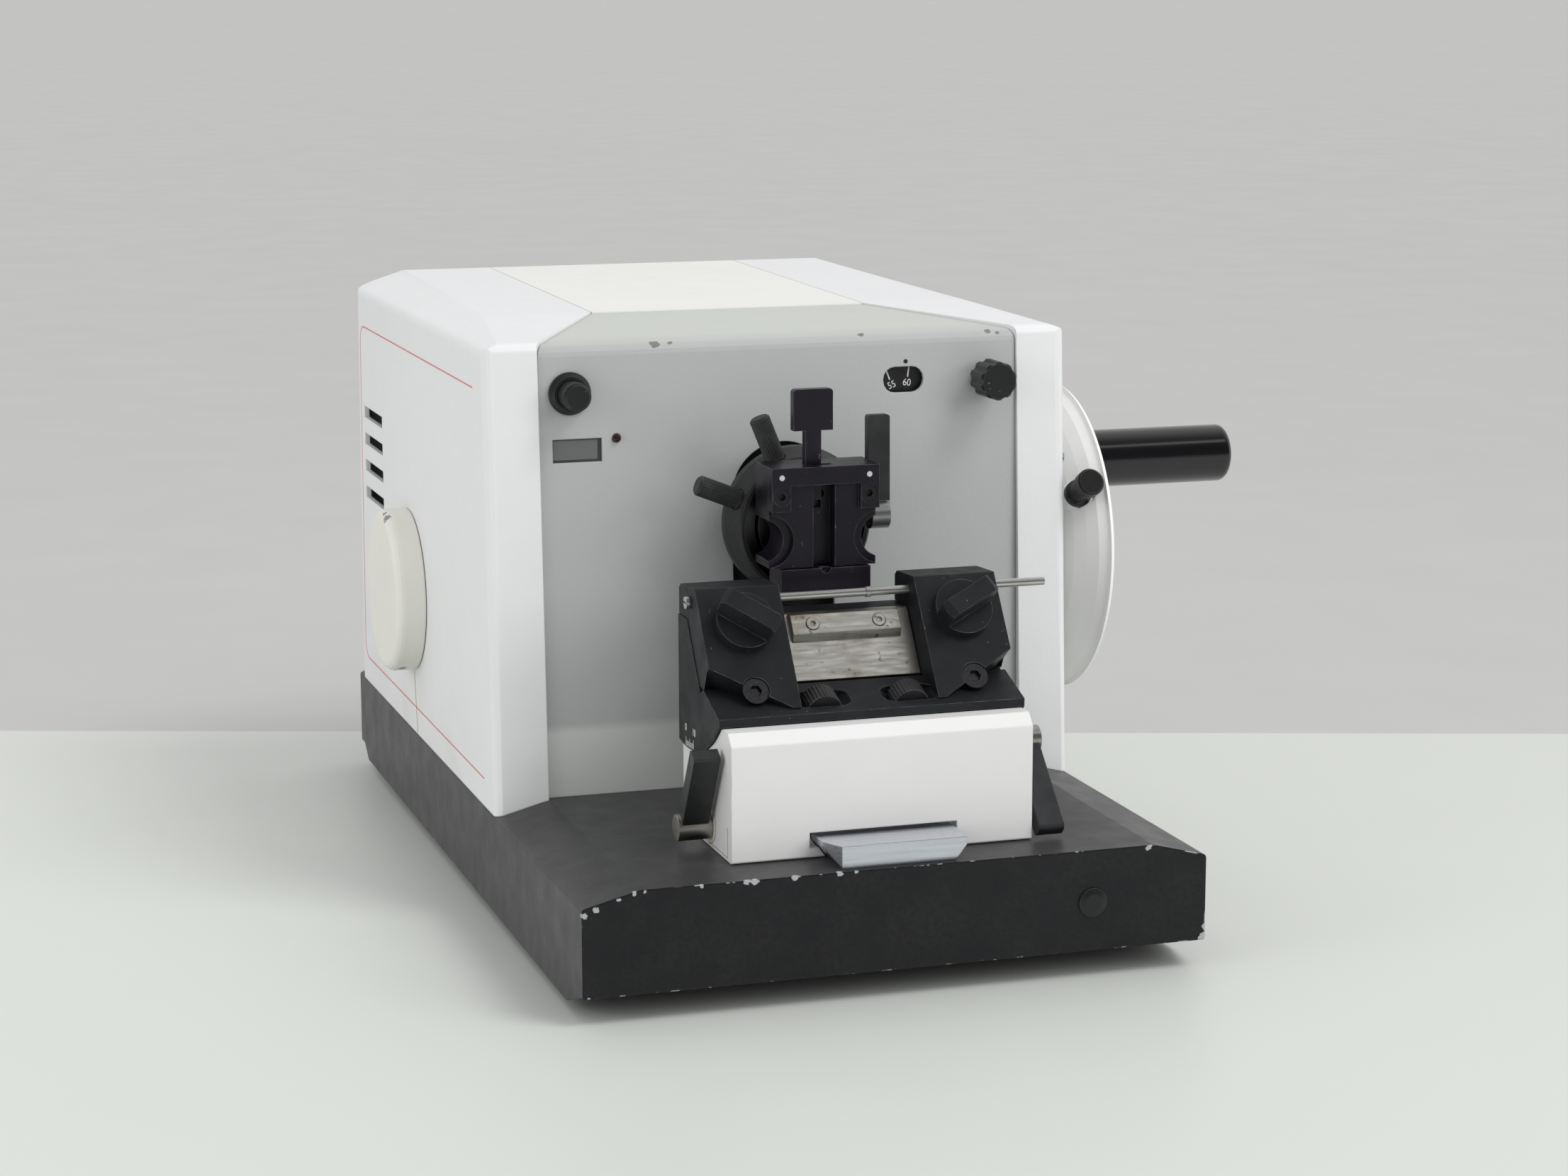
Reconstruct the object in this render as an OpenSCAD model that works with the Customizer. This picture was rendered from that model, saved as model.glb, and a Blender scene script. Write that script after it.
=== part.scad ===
// Rotary microtome with a sliding knife holder and an orientable specimen clamp.
// Millimetres. +X points to the handwheel, -Y to the operator, +Z up.
// Places along X are measured from the middle of the base.

/* [Base] */
// Width of the base casting
base_w = 310; // [300:1:330]
// Depth of the base casting
base_d = 542.8; // [535:1:560]
// Height of the front wall's lower edge above the table
base_z = 14; // [12:0.5:18]
// Height of the base casting, from its front wall's lower edge to its top
base_h = 49.5; // [47:0.5:54]
// Width of the chamfer along each side of the base
base_chamfer_w = 27.6; // [24:0.2:30]
// Height of the chamfer along each side of the base
base_chamfer_h = 7.1; // [5:0.1:9]
// Thickness of the base's walls
base_wall = 6; // [4:0.5:8]
// Thickness of the base's top plate
base_plate = 9; // [7:0.5:11]
// Depth of the side skirts below the front wall's lower edge
skirt_drop = 9.5; // [6:0.5:10]
// Radius of a rubber foot
foot_r = 14; // [10:0.5:18]
// Distance of each foot from the middle of the base
foot_x = 68; // [55:1:90]
// Distance of the front feet behind the front wall
foot_front = 74; // [60:1:100]
// Distance of the rear feet in front of the rear wall
foot_rear = 60; // [45:1:80]
// Radius of the domed plug in the front wall
plug_r = 7; // [5:0.5:9]
// Height of the plug's dome in front of the wall
plug_h = 2; // [1:0.5:3]
// Place of the plug along X
plug_x = 96; // [80:1:110]

/* [Housing] */
// Thickness of the covers
cover_wall = 3; // [2:0.5:4]
// Distance from the base's front wall to the foot of the cheeks
cheek_y = 173.4; // [168:1:180]
// Place of the foot of the cheeks along Y
cheek_foot_y = -98; // [-99:0.5:-97]
// Lean of the cheeks towards the back, degrees
cheek_lean = 3; // [2:0.5:4]
// Height of the covers' shoulder, where the top chamfer starts
shoulder_z = 291; // [285:1:297]
// Height of the top at the front edge of the lid
lid_front_z = 298.4; // [296:0.2:300]
// Height of the top at the rear edge
lid_rear_z = 301.4; // [299:0.2:303]
// Width of the top chamfer
top_chamfer_w = 26; // [20:1:30]
// Distance from the base's rear wall to the rear of the covers
rear_inset = 5.2; // [3:0.2:12]
// Width of the lid
lid_w = 151.4; // [140:0.2:156]
// Place of the lid's front edge along Y
lid_y = 7.6; // [0:0.2:12]
// Width of the seam between two covers
seam = 0.5; // [0.3:0.1:0.8]
// Radius of the covers' rounded edges
cover_round = 6; // [4:0.5:8]
// Depth of the grey panel behind the cheeks
panel_recess = 5; // [4:0.2:6]
// Thickness of the grey panel
panel_t = 2; // [1.5:0.1:2.5]
// Width of one vent slot
vent_l = 53.5; // [45:0.5:60]
// Height of one vent slot
vent_h = 6.7; // [5:0.1:8]
// Distance between two vent slots
vent_pitch = 15.8; // [14:0.1:18]
// Height of the top vent slot
vent_z = 220.4; // [210:0.2:230]
// Distance of the vents' middle in front of the covers' rear
vent_in = 57.4; // [50:0.2:65]

/* [Panel controls] */
// Distance of the mode knob from the panel's left edge
mode_in = 16.2; // [14:0.2:20]
// Height of the mode knob, the thickness knob and the dial window
control_z = 268.2; // [262:0.2:272]
// Radius of the mode knob's cap
mode_r = 7.1; // [6:0.1:8]
// Length of the mode knob's cap in front of its collar
mode_l = 14; // [10:0.5:18]
// Travel of the mode knob when it is pushed
mode_travel = 2; // [1:0.5:3]
// Radius of the mode knob's collar
mode_collar_r = 10.8; // [10:0.1:13]
// Length of the mode knob's collar
mode_collar_l = 4; // [3:0.5:12]
// Distance of the thickness knob from the panel's right edge
thick_in = 18; // [16:0.2:22]
// Outer radius of the thickness knob
thick_r = 9.9; // [8:0.1:11]
// Length of the thickness knob
thick_l = 23; // [18:0.5:26]
// Length of the thickness knob's neck
thick_neck = 6; // [3:0.5:8]
// Lobes of the thickness knob
thick_lobes = 10; // [8:1:12]
// Distance of the dial window's middle from the thickness knob
window_off = 43.8; // [43:0.2:46]
// Width of the dial window
window_w = 22; // [18:0.2:24]
// Height of the dial window
window_h = 13.3; // [11:0.1:15]
// Teeth of the dial's gear
dial_teeth = 62; // [60:2:64]
// Teeth of the thickness shaft's pinion
knob_teeth = 31; // [30:1:32]
// Distance of the display window's middle from the panel's left edge
display_in = 19.8; // [16:0.2:24]
// Height of the display window's middle
display_z = 239.3; // [232:0.2:244]
// Width of the display window
display_w = 25.4; // [20:0.2:28]
// Height of the display window
display_h = 11.8; // [10:0.2:16]
// Distance of the status lamp from the panel's left edge
lamp_in = 40.1; // [37:0.2:43]
// Radius of the status lamp
lamp_r = 2.2; // [1.5:0.1:3]

/* [Handwheel] */
// Place of the main shaft along Y
shaft_y = -18; // [-22:0.5:-14]
// Height of the main shaft
shaft_z = 171; // [168:0.5:176]
// Radius of the main shaft
shaft_r = 10; // [8:0.5:12]
// Outer radius of the handwheel
wheel_r = 83.5; // [80:0.5:88]
// Radius of the handwheel at its back
wheel_back_r = 58; // [52:0.5:64]
// Gap between the side cover and the handwheel
wheel_gap = 2.5; // [2:0.5:4]
// Depth of the handwheel along its axis
wheel_t = 21; // [20.5:0.5:26]
// Distance of the crank grip from the shaft
grip_arm = 63.5; // [56:0.5:66]
// Angle of the crank grip above the front, degrees
grip_angle = 48; // [30:1:60]
// Radius of the crank grip
grip_r = 15.3; // [13:0.1:17]
// Length of the crank grip
grip_l = 79; // [75:0.5:88]
// Radius of the crank grip's spindle
spindle_r = 5; // [4:0.5:6]
// Angle of the lock knob above the front, degrees
lock_angle = 27; // [24:0.5:30]
// Radius of the lock knob
lock_r = 7.3; // [5.5:0.1:7.5]
// Distance from the shaft to the outer end of the lock knob
lock_reach = 91; // [88:0.5:94]
// Travel of the lock knob when it is pulled
lock_travel = 4; // [2:0.5:5]
// Throw of the crank disc, half of the vertical stroke
crank_throw = 30; // [26:0.5:31]

/* [Coarse feed] */
// Distance of the coarse wheel in front of the covers' rear
coarse_in = 157.2; // [153.2:0.2:161.2]
// Height of the coarse wheel
coarse_z = 137; // [134:0.5:140]
// Radius of the coarse wheel
coarse_r = 45; // [40:0.5:48]
// How far the coarse wheel stands out of the side cover
coarse_out = 16.5; // [14:0.5:20]
// Radius of the coarse shaft
coarse_shaft_r = 6; // [5:0.5:7]
// Module of the rack and of its pinion
rack_module = 1; // [0.9:0.05:1.1]
// Teeth of the rack's pinion
pinion_teeth = 14; // [13:1:16]
// Travel of the horizontal feed
feed_travel = 14; // [12:0.5:15]
// Width of one feed rail
rail_w = 14; // [12:0.5:16]

/* [Specimen head] */
// Height of the specimen arm at the top of its stroke
head_z = 202; // [199:0.5:204]
// Radius of the specimen arm
arm_r = 22; // [20:0.5:24]
// Outer radius of the head's ring
ring_r = 38; // [37:0.5:40]
// Place of the ring's rear face along Y
ring_back_y = -99; // [-100.5:0.5:-97]
// Place of the ring's front face along Y
ring_front_y = -124; // [-125:0.5:-122]
// Place of the swivel's middle along Y
swivel_y = -115; // [-116:0.5:-114]
// Radius of the recess in the ring
recess_r = 31.5; // [30:0.5:33]
// Radius of an orientation screw's knurled head
screw_r = 5.2; // [4.5:0.1:6]
// Distance from the head's middle to the outer end of an orientation screw
screw_reach = 58.5; // [54:0.5:64]
// Place of the clamp's front face along Y
clamp_front_y = -157; // [-158:0.2:-155]
// Place of the clamp's rear face along Y
clamp_back_y = -130; // [-132:0.2:-129]
// Width of the clamp
clamp_w = 55.6; // [50:0.2:58]
// Height of the clamp
clamp_h = 68.5; // [64:0.5:72]
// Radius of the round notch in each side of the clamp
notch_r = 13; // [10:0.5:14]
// Width of the channel down the clamp's face
channel_w = 11.2; // [9:0.2:13]
// Depth of the channel down the clamp's face
channel_t = 5; // [3:0.5:7]
// Width of the flat clamp lever
flat_lever_w = 11.5; // [9:0.5:13]
// Width of the release lever's pad
pad_w = 20.4; // [18:0.2:23]
// Height of the release lever's pad
pad_h = 20.6; // [18:0.2:23]
// Travel of the release lever
pad_travel = 4; // [2:0.5:4]
// Travel of the lower jaw
jaw_travel = 3; // [2:0.5:4]

/* [Knife holder] */
// Width of the white knife base
knife_base_w = 151; // [146:0.5:153]
// Place of the white knife base's front face along Y
knife_front_y = -244; // [-248:0.5:-242]
// Place of the knife holder's rear face along Y
knife_back_y = -161; // [-166:0.5:-160.5]
// Height of the white knife base's front top edge
knife_top_z = 125.5; // [124:0.5:126]
// Overhang of the black holder segment at each side of the white knife base
segment_over = 1.5; // [0.5:0.5:3]
// Place of the segment's swing axis along Y, at the knife's edge
edge_y = -176; // [-178:0.5:-174]
// Height of the segment's swing axis, at the knife's edge
edge_z = 182; // [181:0.5:184]
// Radius of the segment's round underside
segment_r = 77; // [76:0.5:78]
// Lean of the jaws' front faces, degrees
jaw_lean = 35; // [34:0.5:36]
// Width of one knife jaw
jaw_w = 42; // [38:0.5:44]
// Height of the jaws' upper edge
jaw_top_z = 185; // [183:0.5:187]
// Thickness of a knife jaw
jaw_t = 19.5; // [18:0.5:21]
// Distance of each jaw knob from the segment's side
knob_in = 21.6; // [21:0.2:23]
// Radius of a jaw knob
knob_r = 14.4; // [13:0.1:16]
// Height of a jaw knob's grip above its disc
knob_grip_h = 13; // [10:0.5:15]
// Radius of a jaw screw's head
jaw_screw_r = 6.5; // [6:0.1:7]
// Radius of the knife guard rod
guard_r = 2.1; // [1.8:0.1:2.5]
// How far the guard rod stands out of the segment's right side
guard_out = 29; // [24:0.5:34]
// Distance of each height wheel's middle from the jaw beside it
height_wheel_in = 12.5; // [11.5:0.5:14.5]
// Radius of a height wheel
height_wheel_r = 9; // [8:0.2:9.6]
// Length of a height wheel
height_wheel_l = 11; // [9:0.5:11.5]
// Width of the dovetail rail at its top
rail_top_w = 69; // [66:0.5:72]
// Width of the dovetail rail at its foot
rail_foot_w = 56; // [53:0.5:58]
// Height of the dovetail rail
rail_h = 11; // [10:0.2:12]
// Place of the dovetail rail's front end along Y
rail_front_y = -267; // [-269:0.5:-262]
// Place of the dovetail rail's rear end along Y
rail_rear_y = -120; // [-130:0.5:-110]
// Radius of a clamping lever's hub
hub_r = 6.4; // [5.5:0.1:7]
// Length of a clamping lever's hub
hub_l = 16.5; // [14:0.5:18]
// Width of a clamping lever
lever_w = 13; // [11:0.5:13.5]
// Thickness of a clamping lever
lever_t = 8; // [6:0.5:9]

/* [Hidden] */
$fn = 64;

// Clearances shared by the pieces
gap = 0.3;
running = 0.05;
cut = 1;

// Base
half_w = base_w / 2;
front_y = cheek_foot_y - cheek_y;
rear_y = front_y + base_d;
base_top = base_z + base_h;
chamfer_x = half_w - base_chamfer_w;
chamfer_z = base_top - base_chamfer_h;
skirt_z = base_z - skirt_drop;

// Overall reach, which sets the row's origin
coarse_face_x = -half_w - coarse_out;
wheel_x0 = half_w + wheel_gap;
wheel_x1 = wheel_x0 + wheel_t;
grip_x0 = wheel_x1 + gap;
grip_x1 = grip_x0 + grip_l;
mid_x = (grip_x1 + coarse_face_x) / 2;
mid_y = (front_y - plug_h + rear_y) / 2;

// Housing
cover_back_y = rear_y - rear_inset;
vent_y = cover_back_y - vent_in;
cheek_top_y = cheek_foot_y + (shoulder_z + 2 - base_top) * tan(cheek_lean / 1.02);
panel_foot_y = cheek_foot_y + panel_recess;
panel_top_y = cheek_top_y + 1.4;
hood_front_z = lid_front_z - 6.4;
lid_half = lid_w / 2;
mode_x = -chamfer_x + mode_in;
thick_x = chamfer_x - thick_in;
window_x = thick_x - window_off;
display_x = -chamfer_x + display_in;
lamp_x = -chamfer_x + lamp_in;
cover_top_lean = 9;
panel_y_high = panel_foot_y + (control_z - base_top)
    * (panel_top_y - panel_foot_y) / (hood_front_z - base_top);
panel_face_y = panel_y_high - 0.45;
lamp_z = display_z + 5.5;
inlet_x = -45;
inlet_z = base_top + 30;
left_plan = [[-half_w - 5, cheek_foot_y - 5], [-chamfer_x, cheek_foot_y - 5], [-chamfer_x, panel_top_y],
    [-lid_half, lid_y], [-lid_half, rear_y], [-half_w - 5, rear_y]];

// Carriage, slot and shutter
slot_half = arm_r + 5.2;
slot_top = head_z + arm_r + 15.3;
stroke = 2 * crank_throw;
slot_low = head_z - stroke - arm_r - 6;
panel_back_y = panel_top_y + panel_t + 0.6;
shutter_t = 1.5;

// Drive
frame_x1 = half_w - 23;
frame_x0 = frame_x1 - 48;
disc_x0 = frame_x0 - 18;
carriage_half = disc_x0 - 8;
guide_x = carriage_half - 18;
guide_r = 7;
rail_x = carriage_half - 12;
lock_x = wheel_x0 + 8;
motor_y = cover_back_y - 116;
slide_rear_y = motor_y - 30.2;
coarse_y = cover_back_y - coarse_in;
disc_t = 10;
spindle_z = base_top + 42;
spindle_bore = 5.5;
disc_r = crank_throw + 14;
coarse_in_x = -disc_x0;
pinion_r = rack_module * pinion_teeth / 2;
rack_z = coarse_z - pinion_r;
grip_y = shaft_y - grip_arm * cos(grip_angle);
grip_z = shaft_z + grip_arm * sin(grip_angle);
dial_r = dial_teeth / 2;
knob_gear_r = knob_teeth / 2;
dial_centre = [window_x + 1.2,
    control_z - sqrt(pow(dial_r + knob_gear_r, 2) - pow(thick_x - window_x - 1.2, 2))];

// Specimen head and clamp
nod_angle = 22;
swing_angle = 68;
clamp_half = clamp_w / 2;
clamp_top = head_z + clamp_h / 2;
clamp_low = head_z - clamp_h / 2;
clamp_screw_x = clamp_half - 5.2;
clamp_screw_z = clamp_top - 14.2;
frame_t = 6;
body_front_y = clamp_front_y + frame_t;
notch_z = head_z - 2.3;
jaw_h = 15;
pad_x = -3.6;
stem_w = 8.2;
stem_t = 5;
stem_y = -148;
lever_y = -140;
lever_z = head_z + 6;

// Knife holder
sin_lean = sin(jaw_lean);
cos_lean = cos(jaw_lean);
jaw_foot = [-226, 130.5];
ledge_slope = 19;
ledge_front = [-229, 130];
ledge_back_y = -203;
ledge_dip = 4.2;
height_wheel_y = -217;
well_r = 17;
well_rise = 9.8;
well_w = height_wheel_l + 3.4;
well_half = sqrt(pow(well_r, 2) - pow(well_rise, 2)) + 0.4;
jaw_back = -jaw_t;
knife_from = 20.6;
knife_to = 60;
segment_half = knife_base_w / 2 + segment_over;
knob_x = segment_half - knob_in;
guard_end_x = segment_half + guard_out;
jaw_in_x = segment_half - 0.5 - jaw_w;
height_wheel_x = jaw_in_x - height_wheel_in;
hub_y = -208;
left_hub_z = 74;
right_hub_z = edge_z - sqrt(pow(segment_r + hub_r + gap, 2) - pow(hub_y - edge_y, 2));
guard_y = -180;
guard_z = 177.3;

// Places everything so that the origin lies under the middle of the whole object
module place() {
    translate([-mid_x, -mid_y, 0]) children();
}

// Solid box between two corners
module block(low, high) {
    translate(low) cube(high - low);
}

// Cylinder along X at (y, z)
module rod_x(x0, x1, y, z, r) {
    translate([x0, y, z]) rotate([0, 90, 0]) cylinder(h = x1 - x0, r = r);
}

// Cylinder along Y at (x, z)
module rod_y(y0, y1, x, z, r) {
    translate([x, y1, z]) rotate([90, 0, 0]) cylinder(h = y1 - y0, r = r);
}

// Extrudes a side outline given as (y, z) points along X
module slab_x(x0, x1, outline) {
    translate([x0, 0, 0]) rotate([90, 0, 90]) linear_extrude(x1 - x0) polygon(outline);
}

// Extrudes a front outline given as (x, z) points along Y
module slab_y(y0, y1, outline) {
    translate([0, y1, 0]) rotate([90, 0, 0]) linear_extrude(y1 - y0) polygon(outline);
}

// Extrudes a plan outline given as (x, y) points along Z
module slab_z(z0, z1, outline) {
    translate([0, 0, z0]) linear_extrude(z1 - z0) polygon(outline);
}

// Point of the side view, given along a jaw's face from its foot and outwards from the face
function jaw_pt(along, out) =
    jaw_foot + along * [sin_lean, cos_lean] + out * [-cos_lean, sin_lean];

// Height of the segment's sloping ledge
function ledge_z(y) = ledge_front[1] + (y - ledge_front[0]) * tan(ledge_slope);

// Turns its children from an axis along Z to one that leans with the jaws' faces
module on_jaw(x, along, out) {
    translate([x, jaw_foot[0] + along * sin_lean - out * cos_lean,
        jaw_foot[1] + along * cos_lean + out * sin_lean])
        rotate([90 - jaw_lean, 0, 0]) children();
}

// Arc that rounds corner p between its neighbours a and b
function corner(a, p, b, r, steps = 4) =
    let (u = (a - p) / norm(a - p), v = (b - p) / norm(b - p), half = acos(u * v) / 2,
        c = p + (u + v) / norm(u + v) * r / sin(half),
        start = p + u * r / tan(half) - c, end = p + v * r / tan(half) - c,
        a0 = atan2(start[1], start[0]), turn = (atan2(end[1], end[0]) - a0 + 540) % 360 - 180)
    [for (i = [0:steps]) c + r * [cos(a0 + turn * i / steps), sin(a0 + turn * i / steps)]];

// Outline whose corners are rounded by the radii given; a radius of 0 keeps a corner sharp
function rounded(pts, radii) =
    let (n = len(pts))
    [for (i = [0:n - 1])
        each radii[i] > 0 ? corner(pts[(i + n - 1) % n], pts[i], pts[(i + 1) % n], radii[i]) : [pts[i]]];

// Gear outline with straight-flanked teeth and a little backlash
function gear(teeth, size, backlash = 0.12) =
    let (r = teeth * size / 2, pitch = 360 / teeth, half = pitch / 4 - backlash / r * 57.3 / 2,
        tip = half - tan(20) * 0.9 * size / r * 57.3, root = half + tan(20) * 0.9 * size / r * 57.3)
    [for (i = [0:teeth - 1])
        each [for (p = [[r - 1.2 * size, -root], [r + 0.9 * size, -tip], [r + 0.9 * size, tip],
        [r - 1.2 * size, root]])
            p[0] * [cos(i * pitch + p[1]), sin(i * pitch + p[1])]]];

// Base casting with its chamfered sides, deep side skirts and hollow underside
module base_casting() {
    outline = [[-half_w, base_z], [half_w, base_z], [half_w, chamfer_z], [chamfer_x, base_top],
        [-chamfer_x, base_top], [-half_w, chamfer_z]];
    skirt = [[front_y, base_z + cut], [front_y + 31, skirt_z], [rear_y - 21, skirt_z + 2],
        [rear_y, base_z + 7], [rear_y, base_z + 12], [front_y, base_z + 12]];
    place() color([0.16, 0.16, 0.17]) difference() {
        union() {
            slab_y(front_y, rear_y, rounded(outline, [1, 1, 2, 2, 2, 2]));
            slab_x(-half_w, -half_w + base_wall, skirt);
            slab_x(half_w - base_wall, half_w, skirt);
        }
        difference() {
            block([-half_w + base_wall, front_y + base_wall, base_z - cut],
                [half_w - base_wall, rear_y - base_wall, base_top - base_plate]);
            for (x = [-foot_x, foot_x])
                for (y = [front_y + foot_front, rear_y - foot_rear])
                    translate([x, y, base_z + 3]) cylinder(h = base_h, r = foot_r + 4);
            for (x = [-half_w / 3, half_w / 3])
                block([x - 3, front_y, base_top - 20], [x + 3, rear_y, base_top]);
        }
        rod_y(front_y - cut, front_y + base_wall + cut, plug_x, base_z + 24, plug_r - 2);
        for (x = [-foot_x, foot_x])
            for (y = [front_y + foot_front, rear_y - foot_rear])
                translate([x, y, base_z]) cylinder(h = 12, r = 3.3);
    }
}

// Rubber feet, each with a stem in the casting's boss
module rubber_feet() {
    place() color([0.25, 0.13, 0.09])
        for (x = [-foot_x, foot_x])
            for (y = [front_y + foot_front, rear_y - foot_rear])
                translate([x, y, 0]) {
                    cylinder(h = 4, r1 = foot_r - 1.5, r2 = foot_r);
                    translate([0, 0, 4]) cylinder(h = base_z - 1, r = foot_r);
                    cylinder(h = base_z + 10, r = 3.3 - running);
                }
}

// Domed plug in the front wall
module base_plug() {
    place() color([0.1, 0.1, 0.11]) translate([plug_x, front_y, base_z + 24]) rotate([90, 0, 0]) {
        cylinder(h = plug_h / 2, r = plug_r);
        translate([0, 0, plug_h / 2]) cylinder(h = plug_h / 2, r1 = plug_r, r2 = plug_r * 0.6);
        translate([0, 0, -base_wall]) cylinder(h = base_wall, r = plug_r - 2 - running);
    }
}

// Outer form of all covers, moved inwards by the inset
module housing_form(inset) {
    low = inset > 0 ? 2 : 0;
    front = [[-half_w + inset, chamfer_z - low], [-chamfer_x, base_top - low], [chamfer_x, base_top - low],
        [half_w - inset, chamfer_z - low], [half_w - inset, shoulder_z - inset / 2],
        [half_w - top_chamfer_w, shoulder_z + cover_top_lean - inset],
        [half_w - top_chamfer_w - 6, lid_rear_z + 4 - inset],
        [-half_w + top_chamfer_w + 6, lid_rear_z + 4 - inset],
        [-half_w + top_chamfer_w, shoulder_z + cover_top_lean - inset],
        [-half_w + inset, shoulder_z - inset / 2]];
    side = [[cheek_foot_y + inset, chamfer_z - 4], [cheek_top_y + inset, hood_front_z + 1.6 - inset],
        [lid_y, lid_front_z - inset], [cover_back_y - 9 - inset, lid_rear_z - inset],
        [cover_back_y - inset, chamfer_z - 4]];
    intersection() {
        slab_y(cheek_foot_y - 5, cover_back_y + 5, rounded(front, [0, 0, 0, 0, 5, 12, 0, 0, 12, 5]));
        slab_x(-half_w, half_w, rounded(side, [0, 6, 30, 9, 0]));
        translate([0, cheek_foot_y + inset, base_top]) rotate([-cheek_lean, 0, 0])
            slab_z(-20, 260, rounded([[-half_w + inset, 0], [half_w - inset, 0], [half_w - inset, base_d],
            [-half_w + inset, base_d]],
                [cover_round, cover_round, 0, 0]));
        translate([0, cover_back_y - inset, base_top]) rotate([2.2, 0, 0])
            slab_z(-20, 260, rounded([[-half_w + inset, -base_d], [half_w - inset, -base_d],
            [half_w - inset, 0], [-half_w + inset, 0]],
                [0, 0, cover_round + 4, cover_round + 4]));
    }
}

// Hollow shell of the covers
module housing_shell() {
    difference() {
        housing_form(0);
        housing_form(cover_wall);
    }
}

// Flat return behind a cheek, which borders the grey panel
module cheek_return(side) {
    intersection() {
        housing_form(0);
        block([side < 0 ? -chamfer_x - cover_wall : chamfer_x, cheek_foot_y - 5, base_top],
            [side < 0 ? -chamfer_x : chamfer_x + cover_wall, panel_top_y + 8, lid_front_z]);
    }
}

// Left side cover with the vent slots and the hole for the coarse feed shaft
module left_side_cover() {
    place() color([0.93, 0.93, 0.92]) difference() {
        union() {
            intersection() {
                housing_shell();
                slab_z(0, lid_rear_z + 5, left_plan);
            }
            cheek_return(-1);
        }
        for (i = [0:3])
            block([-half_w - cut, vent_y - vent_l / 2, vent_z - vent_h / 2 - i * vent_pitch],
                [-half_w + cover_wall + cut, vent_y + vent_l / 2, vent_z + vent_h / 2 - i * vent_pitch]);
        rod_x(-half_w - cut, -half_w + cover_wall + cut, coarse_y, coarse_z, coarse_shaft_r + 3);
    }
}

// Right side cover with the hole for the main shaft
module right_side_cover() {
    place() color([0.93, 0.93, 0.92]) difference() {
        union() {
            intersection() {
                housing_shell();
                mirror([1, 0, 0]) slab_z(0, lid_rear_z + 5, left_plan);
            }
            cheek_return(1);
        }
        rod_x(half_w - cover_wall - cut, half_w + cut, shaft_y, shaft_z, shaft_r + 4);
    }
}

// Lid between the two side covers
module top_lid() {
    place() color([0.95, 0.94, 0.91]) intersection() {
        housing_shell();
        block([-lid_half + seam, lid_y, shoulder_z - 5], [lid_half - seam, rear_y, lid_rear_z + 5]);
    }
}

// Rear panel with the cut-out for the mains inlet
module rear_panel() {
    place() color([0.93, 0.93, 0.92]) difference() {
        intersection() {
            housing_shell();
            block([-lid_half + seam, lid_y + 100, base_top],
                [lid_half - seam, rear_y, shoulder_z - 5 - seam]);
        }
        block([inlet_x - 13.7, rear_y - 40, inlet_z - 10], [inlet_x + 13.7, rear_y, inlet_z + 10]);
    }
}

// Mains inlet with its three pins
module mains_inlet() {
    inlet_y = cover_back_y - (inlet_z - base_top) * tan(2.2) + 2;
    place() color([0.07, 0.07, 0.07]) translate([inlet_x, inlet_y, inlet_z]) {
        difference() {
            union() {
                translate([-15.5, -1.5, -12]) cube([31, 3, 24]);
                translate([-13.6, -24, -9.9]) cube([27.2, 23, 19.8]);
            }
            slab_y(-16, 3, rounded([[-12, -8.2], [12, -8.2], [12, 3], [7, 8.2], [-7, 8.2], [-12, 3]],
                [1, 1, 1, 1, 1, 1]));
        }
        for (x = [-7, 0, 7])
            translate([x - 1, -17, x == 0 ? 0.5 : -3.5]) cube([2, 14, 4]);
    }
}

// Grey front panel, folded back at the top into the hood
module front_panel() {
    outer = [[panel_foot_y, base_top], [panel_top_y, hood_front_z], [lid_y - seam, lid_front_z - 0.8]];
    inner = [[lid_y - seam, lid_front_z - 0.8 - panel_t],
        [panel_top_y + panel_t, hood_front_z - panel_t - 0.2],
        [panel_foot_y + panel_t, base_top]];
    sheet = concat([outer[0]], corner(outer[0], outer[1], outer[2], 6), [outer[2], inner[0]],
        corner(inner[0], inner[1], inner[2], 4), [inner[2]]);
    edge = chamfer_x - 0.2;
    place() color([0.62, 0.65, 0.62]) difference() {
        intersection() {
            slab_x(-edge, edge, sheet);
            slab_z(0, lid_rear_z, [[-edge, cheek_foot_y], [edge, cheek_foot_y], [edge, panel_top_y - 0.6],
                [lid_half - seam, lid_y], [-lid_half + seam, lid_y], [-edge, panel_top_y - 0.6]]);
        }
        slab_y(panel_foot_y - 5, panel_back_y + 5, rounded([[-slot_half, slot_low], [slot_half, slot_low],
            [slot_half, slot_top - slot_half], [-slot_half, slot_top - slot_half]], [6, 6, 0, 0]));
        rod_y(panel_foot_y - 5, panel_back_y + 5, 0, slot_top - slot_half, slot_half);
        slab_y(panel_foot_y - 5, panel_back_y + 5, rounded([
            [window_x - window_w / 2, control_z - window_h / 2],
            [window_x + window_w / 2, control_z - window_h / 2],
            [window_x + window_w / 2, control_z + window_h / 2],
            [window_x - window_w / 2, control_z + window_h / 2]],
            [6.4, 6.4, 6.4, 6.4]));
        block([display_x - display_w / 2, panel_foot_y - 5, display_z - display_h / 2],
            [display_x + display_w / 2, panel_back_y + 5, display_z + display_h / 2]);
        rod_y(panel_foot_y - 5, panel_back_y + 5, lamp_x, lamp_z, lamp_r + 0.1);
        rod_y(panel_foot_y - 5, panel_back_y + 5, mode_x, control_z, mode_r - 1);
        rod_y(panel_foot_y - 5, panel_back_y + 5, thick_x, control_z, 4 + running);
    }
}

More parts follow.
